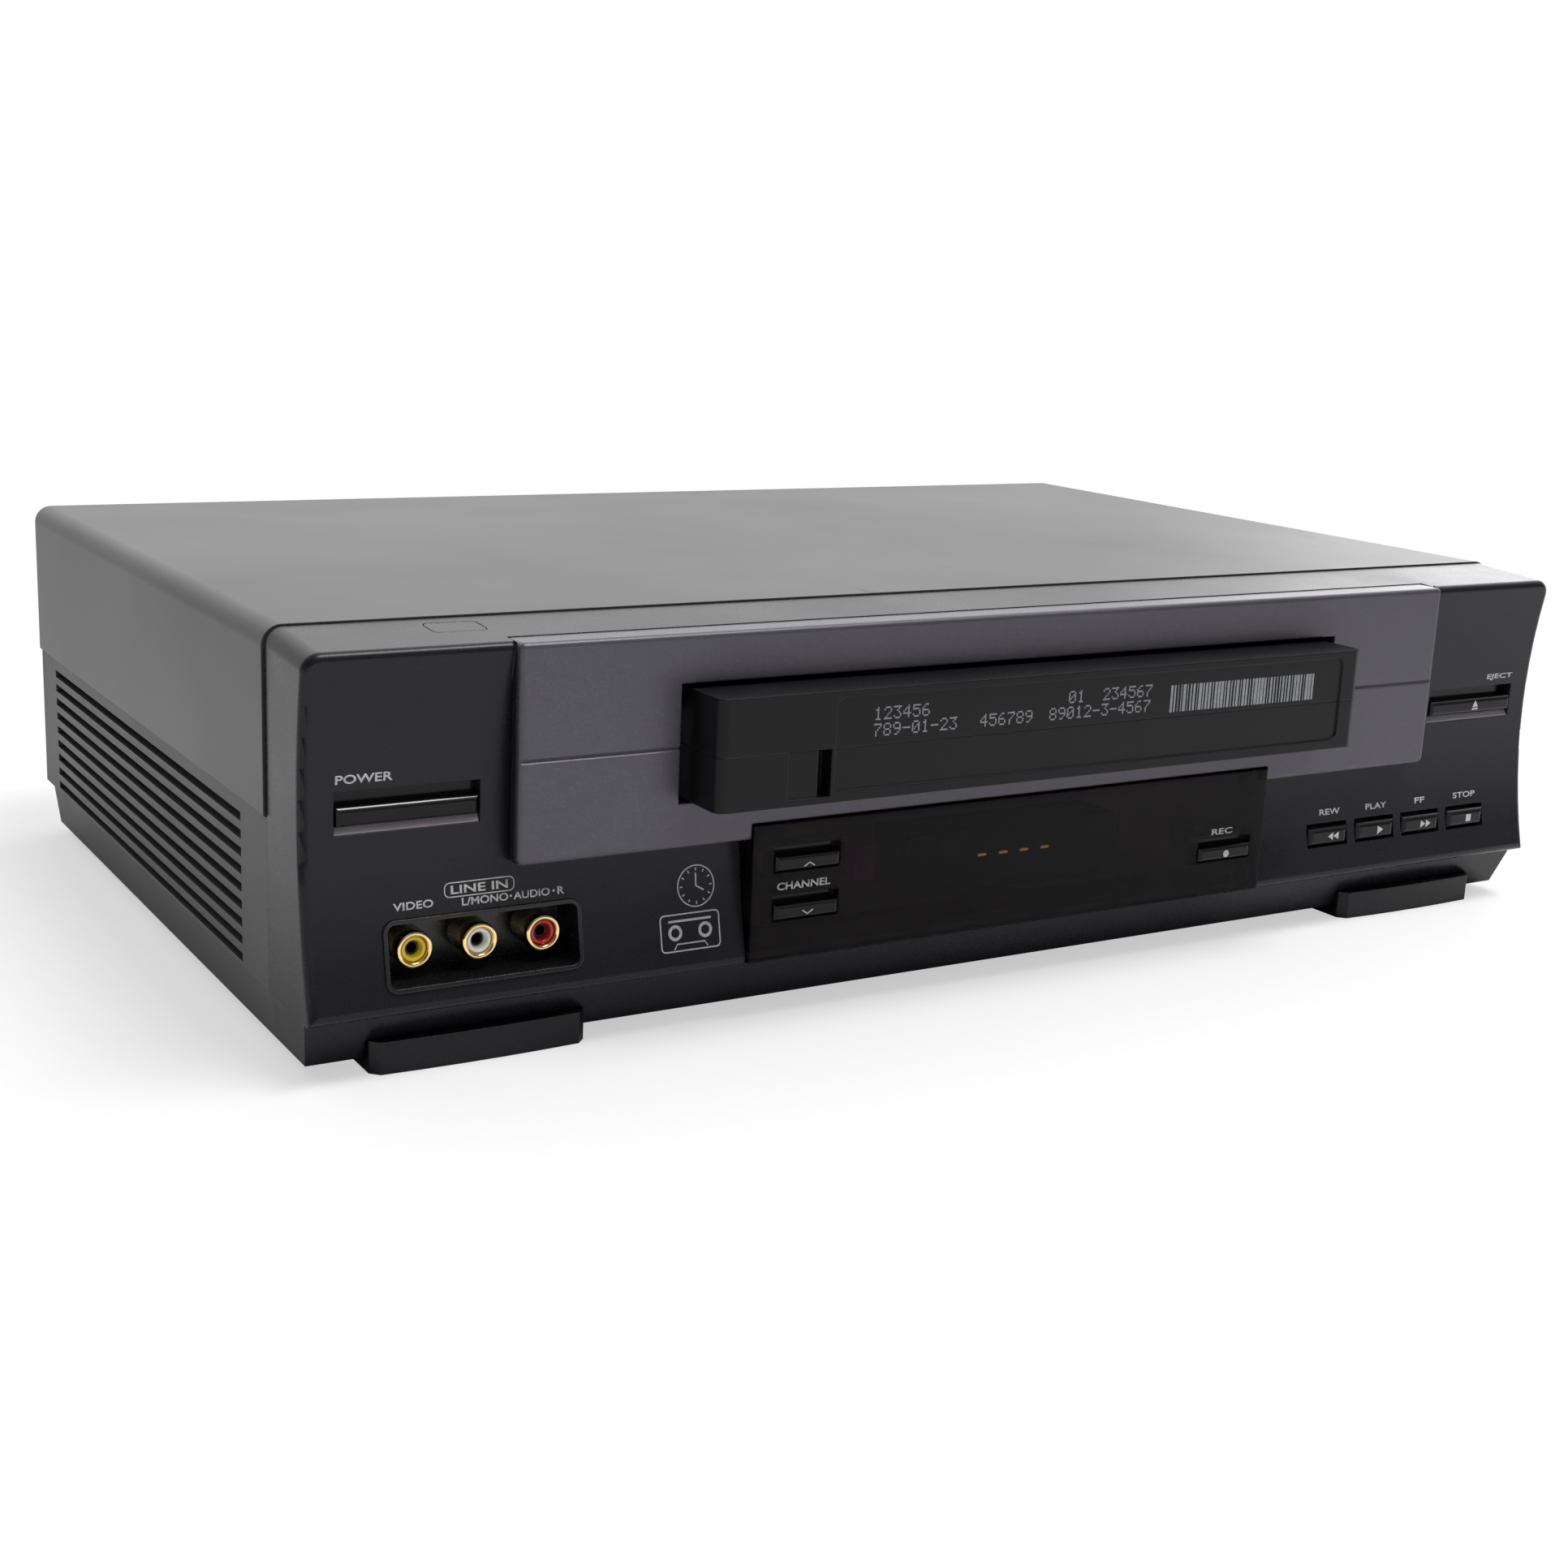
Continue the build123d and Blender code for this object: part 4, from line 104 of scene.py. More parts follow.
# %% Node trees as expressions
class Field:
    """A socket that is added, multiplied and compared as a number is."""

    def __init__(self, recipe, socket):
        self.recipe, self.socket = recipe, socket

    def maths(self, operation, *values):
        return self.recipe.node("ShaderNodeMath", {"operation": operation}, dict(enumerate(values)))

    def __add__(self, other):
        return self.maths("ADD", self, other)

    def __sub__(self, other):
        return self.maths("SUBTRACT", self, other)

    def __rsub__(self, other):
        return self.maths("SUBTRACT", other, self)

    def __mul__(self, other):
        return self.maths("MULTIPLY", self, other)

    def __truediv__(self, other):
        return self.maths("DIVIDE", self, other)

    def __gt__(self, other):
        return self.maths("GREATER_THAN", self, other)

    __radd__, __rmul__ = __add__, __mul__

    def lift(self, low, high, out_low=0.0, out_high=1.0):
        """Spread the span low to high over out_low to out_high, and hold it outside."""
        return self.recipe.node(
            "ShaderNodeMapRange", {"clamp": True},
            {"Value": self, "From Min": low, "From Max": high, "To Min": out_low, "To Max": out_high},
        )


class Recipe:
    """Builds one node tree."""

    def __init__(self, tree):
        self.tree = tree

    def node(self, kind, settings=None, sockets=None, out=0):
        """Add a node: settings first, then the values or links of its sockets."""
        made = self.tree.nodes.new(kind)
        for name, value in (settings or {}).items():
            setattr(made, name, value)
        for name, value in (sockets or {}).items():
            if isinstance(value, Field):
                self.tree.links.new(value.socket, made.inputs[name])
            else:
                made.inputs[name].default_value = value
        return Field(self, made.outputs[out]) if len(made.outputs) else made

    def vector(self, x, y, z):
        """Three numbers as one vector."""
        return self.node("ShaderNodeCombineXYZ", None, {0: x, 1: y, 2: z})


print("helpers: Field, Recipe")

# %% [markdown]
# Each finish is a recipe of its own. What every moulding, paint and metal here shares is a grain
# in Object coordinates, a slight change of tone over the surface, and an edge that catches the
# light. The Bevel node gives that edge without touching the mesh, because it rounds the normals
# only. Where the rounded normal departs from the true one there is an edge, and there the finish
# is rubbed a little paler.

# %% What the finishes share
class Finish(Recipe):
    """A material for one slot of the machine."""

    def __init__(self, name):
        self.material = bpy.data.materials.new(name)
        self.material.use_nodes = True
        self.material.node_tree.nodes.clear()
        super().__init__(self.material.node_tree)
        self.place = self.node("ShaderNodeTexCoord", out="Object")

    def grain(self, scale, detail=2.0, rough=0.5, stretch=(1, 1, 1)):
        """Noise of so many waves a metre, drawn out along an axis where stretch is small."""
        place = self.node("ShaderNodeMapping", None, {"Vector": self.place, "Scale": stretch})
        return self.node(
            "ShaderNodeTexNoise", None,
            {"Vector": place, "Scale": scale, "Detail": detail, "Roughness": rough},
        )

    def rounded(self, radius):
        """The normal as if every edge had this radius, in metres."""
        return self.node("ShaderNodeBevel", {"samples": 6}, {"Radius": radius})

    def edge(self, normal):
        """1 on edges, 0 on flats."""
        true = self.node("ShaderNodeNewGeometry", out="Normal")
        along = self.node("ShaderNodeVectorMath", {"operation": "DOT_PRODUCT"}, {0: normal, 1: true}, "Value")
        return (1 - along).lift(0.02, 0.2)

    def upward(self, normal):
        """1 where the surface looks up, 0 where it stands upright or looks down."""
        return self.node("ShaderNodeSeparateXYZ", None, {0: normal}, 2).lift(0.1, 0.4)

    def crest(self, normal):
        """1 on edges that look up, 0 on the others and on flats."""
        return self.edge(normal) * self.upward(normal)

    def tint(self, factor, low, high):
        """A colour between two colours."""
        return self.node(
            "ShaderNodeMix", {"data_type": "RGBA"}, {0: factor, 6: colour(low), 7: colour(high)}, 2
        )

    def bump(self, height, distance, normal):
        """The normal, roughened by a height of so many metres."""
        return self.node(
            "ShaderNodeBump", None, {"Height": height, "Distance": distance, "Normal": normal}
        )

    def skin(self, **sockets):
        """Close the recipe with a Principled shader; underscores stand for spaces."""
        shader = self.node(
            "ShaderNodeBsdfPrincipled", None, {k.replace("_", " "): v for k, v in sockets.items()}
        )
        self.node("ShaderNodeOutputMaterial", None, {"Surface": shader})
        return self.material


def colour(value):
    """A colour as four numbers, from a grey, three numbers, or a linked socket."""
    if isinstance(value, Field):
        return value
    if isinstance(value, (int, float)):
        value = (value, value, value)
    return (*value, 1.0)


def shade(value, factor):
    """A colour made lighter or darker."""
    return tuple(min(1.0, part * factor) for part in value)


finishes = {}                 # slot name: material
print("helpers: Finish, colour, shade")

# %% [markdown]
# Nearly everything outside is injection-moulded plastic with a fine spark-eroded grain. Its waves
# are about half a millimetre long, so it shows as a soft broken highlight and not as dots. Slow
# noise changes the roughness a little, as handling does. A clear coat lies on edges that look up
# and, on the keys, on every surface that looks up, where fingers polish them. One recipe covers
# all the mouldings, from the charcoal front to the white reels.

# %% Moulded plastic
def moulded(slot, tone, roughness=0.45, grain=1500.0, depth=4e-6, edge=0.0004, worn=1.35,
            coat=0.0, gloss=0.5, polish=0.8, crown=0.0):
    finish = Finish(slot)
    fine = finish.grain(grain, 3.0, 0.6)
    slow = finish.grain(28.0, 3.0, 0.6)
    round_edge = finish.rounded(edge)
    body = finish.tint(slow.lift(0.3, 0.7), shade(tone, 0.92), shade(tone, 1.08))
    finishes[slot] = finish.skin(
        Base_Color=finish.tint(finish.edge(round_edge) * slow.lift(0.35, 0.6), body, shade(tone, worn)),
        Roughness=slow.lift(0.2, 0.8, roughness - 0.05, roughness + 0.05)
        + fine.lift(0.3, 0.7, -0.03, 0.03),
        Normal=finish.bump(fine, depth, round_edge),
        Coat_Weight=finish.crest(round_edge) * polish + finish.upward(round_edge) * crown + coat,
        Coat_Roughness=0.2,
        Specular_IOR_Level=gloss,
    )


moulded("charcoal_moulding", (0.0115, 0.0108, 0.0148), 0.28, grain=2600, depth=6e-7, gloss=0.21,
        polish=0.9)
moulded("chassis_plastic", (0.055, 0.054, 0.055), 0.50, depth=8e-6, gloss=0.4)
moulded("foot_plastic", (0.008, 0.008, 0.011), 0.26, grain=2600, depth=6e-7, edge=0.0006, gloss=0.25)
moulded("flap_plastic", (0.010, 0.010, 0.011), 0.45)
moulded("table_plastic", (0.018, 0.018, 0.019), 0.40)
moulded("switch_plastic", (0.015, 0.015, 0.016), 0.30)
moulded("gear_plastic", (0.62, 0.60, 0.54), 0.42, worn=1.1)
moulded("reel_white", (0.66, 0.65, 0.62), 0.40, worn=1.08)
moulded("jack_black", (0.006, 0.006, 0.007), 0.30, edge=0.0003)
moulded("key_black", (0.0030, 0.0030, 0.0036), 0.18, depth=2e-7, edge=0.0002, gloss=0.20,
        polish=0.0, crown=1.0)
moulded("capacitor_sleeve", (0.010, 0.016, 0.055), 0.25, depth=1e-6, coat=0.5)
moulded("gland_rubber", (0.012, 0.012, 0.012), 0.62, depth=9e-6)
moulded("pinch_rubber", (0.014, 0.014, 0.014), 0.68, grain=2600, depth=9e-6)
moulded("yellow_plastic", (0.82, 0.60, 0.020), 0.24, depth=1e-6, worn=1.1, coat=0.5)
moulded("white_plastic", (0.94, 0.92, 0.88), 0.24, depth=1e-6, worn=1.05, coat=0.5)
moulded("red_plastic", (0.44, 0.008, 0.010), 0.24, depth=1e-6, worn=1.1, coat=0.5)
print("mouldings", len(finishes))

# %% [markdown]
# The grey panel is the same plastic under a satin paint with fine metal flake. A flake is about a
# sixth of a millimetre across, so only a light speckle shows. Cells of a Voronoi pattern take a
# random value each, and the few highest ones are paler and glossier. The sills under the two long
# keys take the same paint made about four times paler. That is painted light, which stands in for
# the light that the proud keys keep off them.

# %% Flake paint on the panel
def flaked(slot, tone, roughness, gloss):
    finish = Finish(slot)
    flake = finish.node(
        "ShaderNodeTexVoronoi", None, {"Vector": finish.place, "Scale": 6500.0}, "Color"
    )
    spark = finish.node("ShaderNodeSeparateColor", None, {"Color": flake}).lift(0.86, 1.0)
    fine = finish.grain(1800.0, 3.0, 0.6)
    slow = finish.grain(16.0, 3.0, 0.6)
    round_edge = finish.rounded(0.0006)
    body = finish.tint(slow.lift(0.3, 0.7), shade(tone, 0.93), shade(tone, 1.07))
    flaked_body = finish.tint(spark * 0.5, body, shade(tone, 2.2))
    finishes[slot] = finish.skin(
        Base_Color=finish.tint(finish.edge(round_edge) * 0.5, flaked_body, shade(tone, 1.8)),
        Roughness=slow.lift(0.2, 0.8, roughness - 0.05, roughness + 0.05) - spark * 0.12,
        Metallic=0.3, Specular_IOR_Level=gloss,
        Normal=finish.bump(fine, 1.8e-6, round_edge),
        Coat_Weight=finish.crest(round_edge), Coat_Roughness=0.14,
    )


flaked("panel_grey", (0.077, 0.072, 0.089), 0.32, 0.34)
# painted light: the sill's tone is about four times the panel's, standing in for light the keys keep off
flaked("sill_grey", (0.33, 0.30, 0.34), 0.32, 0.50)
print("panel paint")

# %% [markdown]
# The steel cover wears a textured powder paint. It scatters the light of the ceiling into a broad
# pale sheen when seen at a low angle, which is why the top looks so much lighter than the side.
# Wear shows as faint short scuffs, so a stretched noise is cut off high and only a few marks stay.

# %% Powder paint on the sheet steel
def powder(slot, tone, roughness, depth, gloss=0.3):
    finish = Finish(slot)
    fine = finish.grain(2200.0, 4.0, 0.65)
    slow = finish.grain(9.0, 4.0, 0.6)
    scuff = finish.grain(60.0, 4.0, 0.7, (1.0, 0.16, 1.0)).lift(0.70, 0.76)
    round_edge = finish.rounded(0.0004)
    body = finish.tint(slow.lift(0.3, 0.7), shade(tone, 0.95), shade(tone, 1.05))
    rubbed = finish.tint(finish.edge(round_edge) * 0.5, body, shade(tone, 1.7))
    finishes[slot] = finish.skin(
        Base_Color=finish.tint(scuff * 0.5, rubbed, shade(tone, 0.55)),
        Roughness=slow.lift(0.2, 0.8, roughness - 0.04, roughness + 0.04) + scuff * 0.1,
        Specular_IOR_Level=gloss,
        Normal=finish.bump(fine, depth, round_edge),
    )


powder("cover_paint", (0.037, 0.0355, 0.0365), 0.37, 7e-6)
powder("rear_paint", (0.030, 0.030, 0.031), 0.50, 8e-6)
print("cover and rear paint")

# %% [markdown]
# Inside, the deck is zinc-plated sheet, turned aluminium and plated pins. Plated sheet has large
# pale spangles, turned parts have fine rings and brushed parts have long scratches. All three are
# the same metal recipe with a differently stretched noise.

# %% Metals
def metal(slot, tone, roughness, stretch=(1, 1, 1), scratch=700.0, depth=2e-6, patchy=0.12, dark=0.75):
    finish = Finish(slot)
    lines = finish.grain(scratch, 4.0, 0.7, stretch)
    slow = finish.grain(35.0, 3.0, 0.6)
    round_edge = finish.rounded(0.0003)
    finishes[slot] = finish.skin(
        Base_Color=finish.tint(slow.lift(0.35, 0.65) * 0.8 + lines * 0.2, shade(tone, dark), tone),
        Roughness=lines.lift(0.2, 0.8, roughness - patchy / 2, roughness + patchy / 2),
        Metallic=1.0,
        Normal=finish.bump(lines, depth, round_edge),
    )


metal("zinc_sheet", (0.56, 0.56, 0.55), 0.36, scratch=120.0, depth=3e-6, patchy=0.2)
metal("screw_black", (0.060, 0.058, 0.056), 0.34)
metal("gold_plate", (0.94, 0.70, 0.34), 0.15, scratch=1200.0, depth=2e-7, patchy=0.04, dark=0.95)
metal("sink_aluminium", (0.72, 0.72, 0.73), 0.34, (1, 1, 0.05))
metal("drum_aluminium", (0.80, 0.80, 0.81), 0.20, (1, 1, 14), 300.0)
metal("head_metal", (0.72, 0.72, 0.74), 0.14, (1, 1, 8))
metal("motor_steel", (0.52, 0.52, 0.52), 0.30, (1, 0.05, 1))
metal("arm_steel", (0.60, 0.60, 0.59), 0.30, (0.1, 1, 1))
metal("core_steel", (0.16, 0.13, 0.11), 0.45, (1, 1, 22), 90.0, 3e-5)
print("metals")

# %% [markdown]
# The display window is smoked acrylic: almost black, polished, and thin enough to let the lit
# dashes through. Alpha does that more safely than true refraction, because the light needs no
# path out again. The light passes two faces of the wall, so each lets a third of it through. A
# faint swirl of wiping marks varies the gloss.

# %% Smoked acrylic and the tube's glass
def clear(slot, tone, roughness, alpha, gloss):
    finish = Finish(slot)
    wiped = finish.grain(45.0, 4.0, 0.7, (1.0, 1.0, 0.3))
    round_edge = finish.rounded(0.0003)
    finishes[slot] = finish.skin(
        Base_Color=finish.tint(wiped, shade(tone, 0.9), shade(tone, 1.1)),
        Roughness=wiped.lift(0.3, 0.7, roughness, roughness + 0.05),
        Alpha=alpha, Specular_IOR_Level=gloss,
        Normal=finish.bump(finish.grain(900.0), 1e-7, round_edge),
    )


clear("smoked_window", (0.0036, 0.0020, 0.0034), 0.10, 0.66, 0.12)
clear("tube_glass", (0.020, 0.021, 0.022), 0.12, 0.97, 0.5)
print("window and tube")

# %% [markdown]
# The cassette is black polystyrene. Its spine is smooth, and its top and sides carry a moulded
# pattern of fine slanting ridges, so one material reads the true normal and adds the ridges only
# where the surface faces up. The tape pack shines like lacquer, with rings where the winding
# tension changed, so its noise runs on the distance from the reel's axis.

# %% Cassette and tape
def ridged(slot, tone):
    finish = Finish(slot)
    fine = finish.grain(1300.0, 3.0, 0.6)
    slow = finish.grain(30.0, 3.0, 0.6)
    true = finish.node("ShaderNodeNewGeometry", out="Normal")
    facing_up = finish.node("ShaderNodeSeparateXYZ", None, {"Vector": true}, 2) > 0.7
    turned = finish.node(
        "ShaderNodeMapping", None,
        {"Vector": finish.place, "Rotation": (0, 0, math.radians(38)), "Scale": (620, 620, 620)},
    )
    ridge = finish.node("ShaderNodeTexWave", {"wave_profile": "TRI"}, {"Vector": turned, "Scale": 1.0}, "Fac")
    round_edge = finish.rounded(0.0005)
    body = finish.tint(slow.lift(0.3, 0.7), shade(tone, 0.9), shade(tone, 1.1))
    finishes[slot] = finish.skin(
        Base_Color=finish.tint(finish.edge(round_edge) * slow.lift(0.35, 0.6), body, shade(tone, 1.8)),
        Roughness=slow.lift(0.2, 0.8, 0.30, 0.40) + facing_up * 0.08,
        Specular_IOR_Level=0.18,
        Normal=finish.bump(ridge * facing_up * 4.0 + fine, 8e-6, round_edge),
    )


def wound(slot, tone, x, y):
    finish = Finish(slot)
    axis = at(x, y, 0)
    away = finish.node(
        "ShaderNodeVectorMath", {"operation": "MULTIPLY_ADD"},
        {0: finish.place, 1: (1, 1, 0), 2: (-axis.x, -axis.y, 0)},
    )
    radius = finish.node("ShaderNodeVectorMath", {"operation": "LENGTH"}, {0: away}, "Value")
    rings = finish.node(
        "ShaderNodeTexNoise", {"noise_dimensions": "1D"}, {"W": radius, "Scale": 900.0, "Detail": 4.0}
    )
    finishes[slot] = finish.skin(
        Base_Color=finish.tint(rings, shade(tone, 0.7), shade(tone, 1.4)),
        Roughness=rings.lift(0.3, 0.7, 0.18, 0.30),
        Normal=finish.bump(rings, 5e-6, finish.rounded(0.0002)),
        Coat_Weight=0.4, Coat_Roughness=0.1,
    )


ridged("cassette_black", (0.0062, 0.0058, 0.0068))
wound("tape_brown", (0.030, 0.016, 0.010), -46.2, 6.4)
print("cassette and tape")

# %% [markdown]
# Circuit boards of this age are brown phenolic paper with a green or amber lacquer. Fibres show as
# a fine stretched noise. Printed ink, needed for the words on the front, is a thin pale lacquer
# that is a little worn, so a fast noise thins it here and there.

# %% Boards and ink
def laminate(slot, tone):
    finish = Finish(slot)
    fibre = finish.grain(420.0, 5.0, 0.7, (1, 0.2, 1))
    slow = finish.grain(24.0, 3.0, 0.6)
    finishes[slot] = finish.skin(
        Base_Color=finish.tint(fibre * 0.6 + slow * 0.4, shade(tone, 0.65), shade(tone, 1.25)),
        Roughness=fibre.lift(0.3, 0.7, 0.32, 0.50),
        Normal=finish.bump(fibre, 6e-6, finish.rounded(0.0002)),
    )


def ink(name, tone, worn=0.8, roughness=0.55):
    finish = Finish(name)
    thin = finish.grain(1600.0, 3.0, 0.7)
    return finish.skin(
        Base_Color=finish.tint(thin.lift(0.35, 0.6), shade(tone, worn), tone),
        Roughness=thin.lift(0.3, 0.7, roughness - 0.1, roughness + 0.1),
        Normal=finish.bump(thin, 2e-6, finish.rounded(0.0001)),
    )


laminate("board_laminate", (0.24, 0.155, 0.060))
front_ink = ink("front_ink", (0.52, 0.51, 0.51))
key_ink = ink("key_ink", (0.56, 0.56, 0.57))
spine_ink = ink("spine_ink", (0.27, 0.28, 0.31), 0.7)
print("boards and inks")

# %% [markdown]
# The record that comes with the frame says which slot each solid takes its finish from. Dressing
# the solids is then one loop, and a missing finish shows up at once.

# %% Dress the solids
for part in frame["record"]["subparts"]:
    solid = frame["nodes"][part["node"]]
    solid.material_slots[0].material = finishes[part["material_slot"]]

# %% [markdown]
# Words, outlines and symbols are screen printed: a film of ink that follows the hollow front. A
# flat drawing is projected straight back onto the solid that it sits on, and each face becomes a
# plate less than a tenth of a millimetre thick that starts just under the surface. Real geometry
# keeps the print sharp in any render and needs no image.

# %% Printing on a solid
INK_OUT, INK_IN = 0.00004, 0.00004


def settled(name, mesh, body):
    """Put a mesh in the scene as a piece that rides on a body."""
    piece = bpy.data.objects.new(name, mesh)
    bpy.context.scene.collection.objects.link(piece)
    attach(piece, body)
    print(name, len(mesh.polygons), "faces")
    return piece


def surface_of(node):
    """A search tree over a solid's faces, for projecting onto it."""
    mesh = frame["nodes"][node].data
    return BVHTree.FromPolygons([v.co for v in mesh.vertices], [list(p.vertices) for p in mesh.polygons])


def printed(name, flat, tree, body, material, toward=1):
    """Turn a flat drawing, x and z in millimetres, into ink on a solid and let it ride on a body."""
    bmesh.ops.remove_doubles(flat, verts=flat.verts, dist=1e-4)
    raised = bmesh.ops.extrude_face_region(flat, geom=flat.faces[:])
    tops = {item for item in raised["geom"] if isinstance(item, bmesh.types.BMVert)}
    ahead = Vector((0, toward, 0))
    for vert in flat.verts:
        start = at(vert.co.x, -SEAM_Y - 300 * toward, vert.co.y)
        place = tree.ray_cast(start, ahead)[0]
        vert.co = place - ahead * (INK_OUT if vert in tops else -INK_IN)
    bmesh.ops.recalc_face_normals(flat, faces=flat.faces)
    mesh = bpy.data.meshes.new(name)
    flat.to_mesh(mesh)
    flat.free()
    mesh.materials.append(material)
    settled(name, mesh, body)


def lettering(flat, word, x0, x1, z0, z1, mirror=1):
    """Add a word to a flat drawing, fitted into a box in millimetres."""
    curve = bpy.data.curves.new("word", "FONT")
    curve.body, curve.resolution_u, curve.offset = word, 4, 0.018
    maker = bpy.data.objects.new("word", curve)
    bpy.context.scene.collection.objects.link(maker)
    mesh = bpy.data.meshes.new_from_object(maker.evaluated_get(bpy.context.evaluated_depsgraph_get()))
    xs, ys = [v.co.x for v in mesh.vertices], [v.co.y for v in mesh.vertices]
    wide, high = (x1 - x0) / (max(xs) - min(xs)), (z1 - z0) / (max(ys) - min(ys))
    for vert in mesh.vertices:
        x = x0 + (vert.co.x - min(xs)) * wide
        vert.co = (x0 + x1 - x if mirror < 0 else x, z0 + (vert.co.y - min(ys)) * high, 0)
    flat.from_mesh(mesh)
    bpy.data.objects.remove(maker)
    bpy.data.curves.remove(curve)
    bpy.data.meshes.remove(mesh)


print("helpers: settled, surface_of, printed, lettering")

# %% [markdown]
# A flat drawing is built from strokes of even width and from filled shapes. Their points come from
# short functions for an arc, a whole circle and a box with round corners.

# %% Strokes and shapes
def outline(flat, points, closed=True, width=0.3):
    """Add a stroke of even width along points, in millimetres."""
    count = len(points)
    rows = []
    for number, here in enumerate(points):
        before = points[number - 1] if closed or number else here
        after = points[(number + 1) % count] if closed or number < count - 1 else here
        along = Vector(after) - Vector(before)
        across = Vector((-along.y, along.x)).normalized() * width / 2
        rows.append([flat.verts.new((*(Vector(here) + side * across), 0)) for side in (-1, 1)])
    for number in range(count if closed else count - 1):
        (a, b), (c, d) = rows[number], rows[(number + 1) % count]
        flat.faces.new((a, c, d, b))


def area(flat, points):
    """Add a filled shape."""
    flat.faces.new([flat.verts.new((x, z, 0)) for x, z in points])


def arc(x, z, radius, start, end, steps=24):
    """Points on a circle, angles in degrees."""
    angles = [math.radians(start + (end - start) * n / steps) for n in range(steps + 1)]
    return [(x + radius * math.cos(a), z + radius * math.sin(a)) for a in angles]


def ring(x, z, radius, steps=28):
    """Points all round a circle."""
    return arc(x, z, radius, 0, 360 - 360 / steps, steps - 1)


def lozenge(x0, x1, z0, z1, corner):
    """Points round a box with round corners."""
    left, right, low, high = x0 + corner, x1 - corner, z0 + corner, z1 - corner
    turns = ((right, high, 0), (left, high, 90), (left, low, 180), (right, low, 270))
    return [point for x, z, start in turns for point in arc(x, z, corner, start, start + 90, 5)]


front_skin = surface_of("front_fascia")
print("helpers: outline, area, arc, ring, lozenge")

# %% [markdown]
# The front carries plain function words over the keys and sockets. Each is fitted into a box that
# is measured in millimetres, so that the letters have the right height and spacing.

# %% Function words on the front
words = bmesh.new()
for word, x0, x1, z0, z1 in (
    ("POWER", -171.8, -159.5, 63.4, 65.3), ("EJECT", 161.8, 171.8, 63.2, 65.0),
    ("VIDEO", -159.9, -151.0, 35.6, 37.3), ("LINE IN", -147.0, -134.0, 37.8, 39.6),
    ("L/MONO", -144.6, -134.0, 35.1, 36.8), ("AUDIO", -132.8, -124.3, 35.1, 36.8),
    ("R", -122.5, -120.9, 35.1, 36.8),
    ("REW", 101.1, 108.6, 30.8, 32.4), ("PLAY", 118.1, 126.0, 30.8, 32.4),
    ("FF", 136.7, 140.6, 30.8, 32.4), ("STOP", 151.7, 160.4, 30.8, 32.4),
):
    lettering(words, word, x0, x1, z0, z1)
for x in (-133.4, -123.4):
    area(words, ring(x, 36.0, 0.28, 12))
outline(words, lozenge(-148.4, -132.6, 37.2, 40.2, 1.1), True, 0.22)
printed("front_words", words, front_skin, "cabinet", front_ink)

# %% [markdown]
# The rear carries its own plain words, mirrored in x because they are read from behind. The two
# rows of sockets are inputs above and outputs below, and the aerial goes in beside them.

# %% Function words on the rear
rear_words = bmesh.new()
for word, x0, x1, z0, z1 in (
    ("VIDEO", 15.4, 24.6, 56.4, 58.0), ("L", 34.2, 35.4, 56.4, 58.0), ("R", 48.8, 50.4, 56.4, 58.0),
    ("IN", 57.0, 60.2, 48.2, 50.0), ("OUT", 57.0, 63.0, 32.2, 34.0), ("AUDIO", 37.4, 47.0, 60.2, 61.8),
    ("ANT IN", 149.0, 160.0, 43.6, 45.2), ("TO TV", 123.8, 133.2, 43.6, 45.2),
):
    lettering(rear_words, word, x0, x1, z0, z1, -1)
outline(rear_words, [(34.8, 58.8), (34.8, 59.4), (49.6, 59.4), (49.6, 58.8)], False, 0.25)
outline(rear_words, lozenge(11.0, 66.4, 24.4, 63.6, 2.0), True, 0.3)
outline(rear_words, lozenge(118.6, 164.4, 28.4, 47.2, 2.0), True, 0.3)
printed("rear_words", rear_words, surface_of("rear_panel"), "cabinet", front_ink, -1)

# %% [markdown]
# Two small pictograms stand between the sockets and the window: a clock face with twelve ticks and
# two hands, and a tape cassette with its hubs and label. Ticks and hubs are repeated in short loops.

# %% Pictograms beside the window
def clock_pictogram():
    flat = bmesh.new()
    x, z, radius = -88.6, 33.2, 4.6
    outline(flat, ring(x, z, radius, 40), True, 0.28)
    for angle in range(0, 360, 30):
        tick = [arc(x, z, radius * reach, angle, angle, 1)[0] for reach in (0.74, 0.88)]
        outline(flat, tick, False, 0.26)
    outline(flat, [(x, z + 2.9), (x, z), (x + 1.9, z - 1.1)], False, 0.34)
    return flat


def cassette_pictogram():
    flat = bmesh.new()
    x, z = -90.6, 23.3
    outline(flat, lozenge(x - 7.4, x + 7.4, z - 4.0, z + 4.0, 1.0), True, 0.32)
    for hub in (-3.8, 3.8):
        outline(flat, ring(x + hub, z, 1.4, 24), True, 0.7)
    area(flat, [(x - 5.4, z + 2.3), (x + 5.4, z + 2.3), (x + 5.4, z + 2.8), (x - 5.4, z + 2.8)])
    foot = [(x - 4.2, z - 3.6), (x - 3.5, z - 2.5), (x + 3.5, z - 2.5), (x + 4.2, z - 3.6)]
    outline(flat, foot, False, 0.3)
    return flat


printed("clock_pictogram", clock_pictogram(), front_skin, "cabinet", front_ink)
printed("cassette_pictogram", cassette_pictogram(), front_skin, "cabinet", front_ink)

# %% [markdown]
# The window has its own two words, printed on the acrylic, one between the two channel keys and one
# over the record key.

# %% Words on the window
window_words = bmesh.new()
lettering(window_words, "CHANNEL", -70.2, -56.0, 31.1, 32.9)
lettering(window_words, "REC", 59.3, 66.2, 30.8, 32.4)
printed("window_words", window_words, surface_of("display_window"), "cabinet", front_ink)

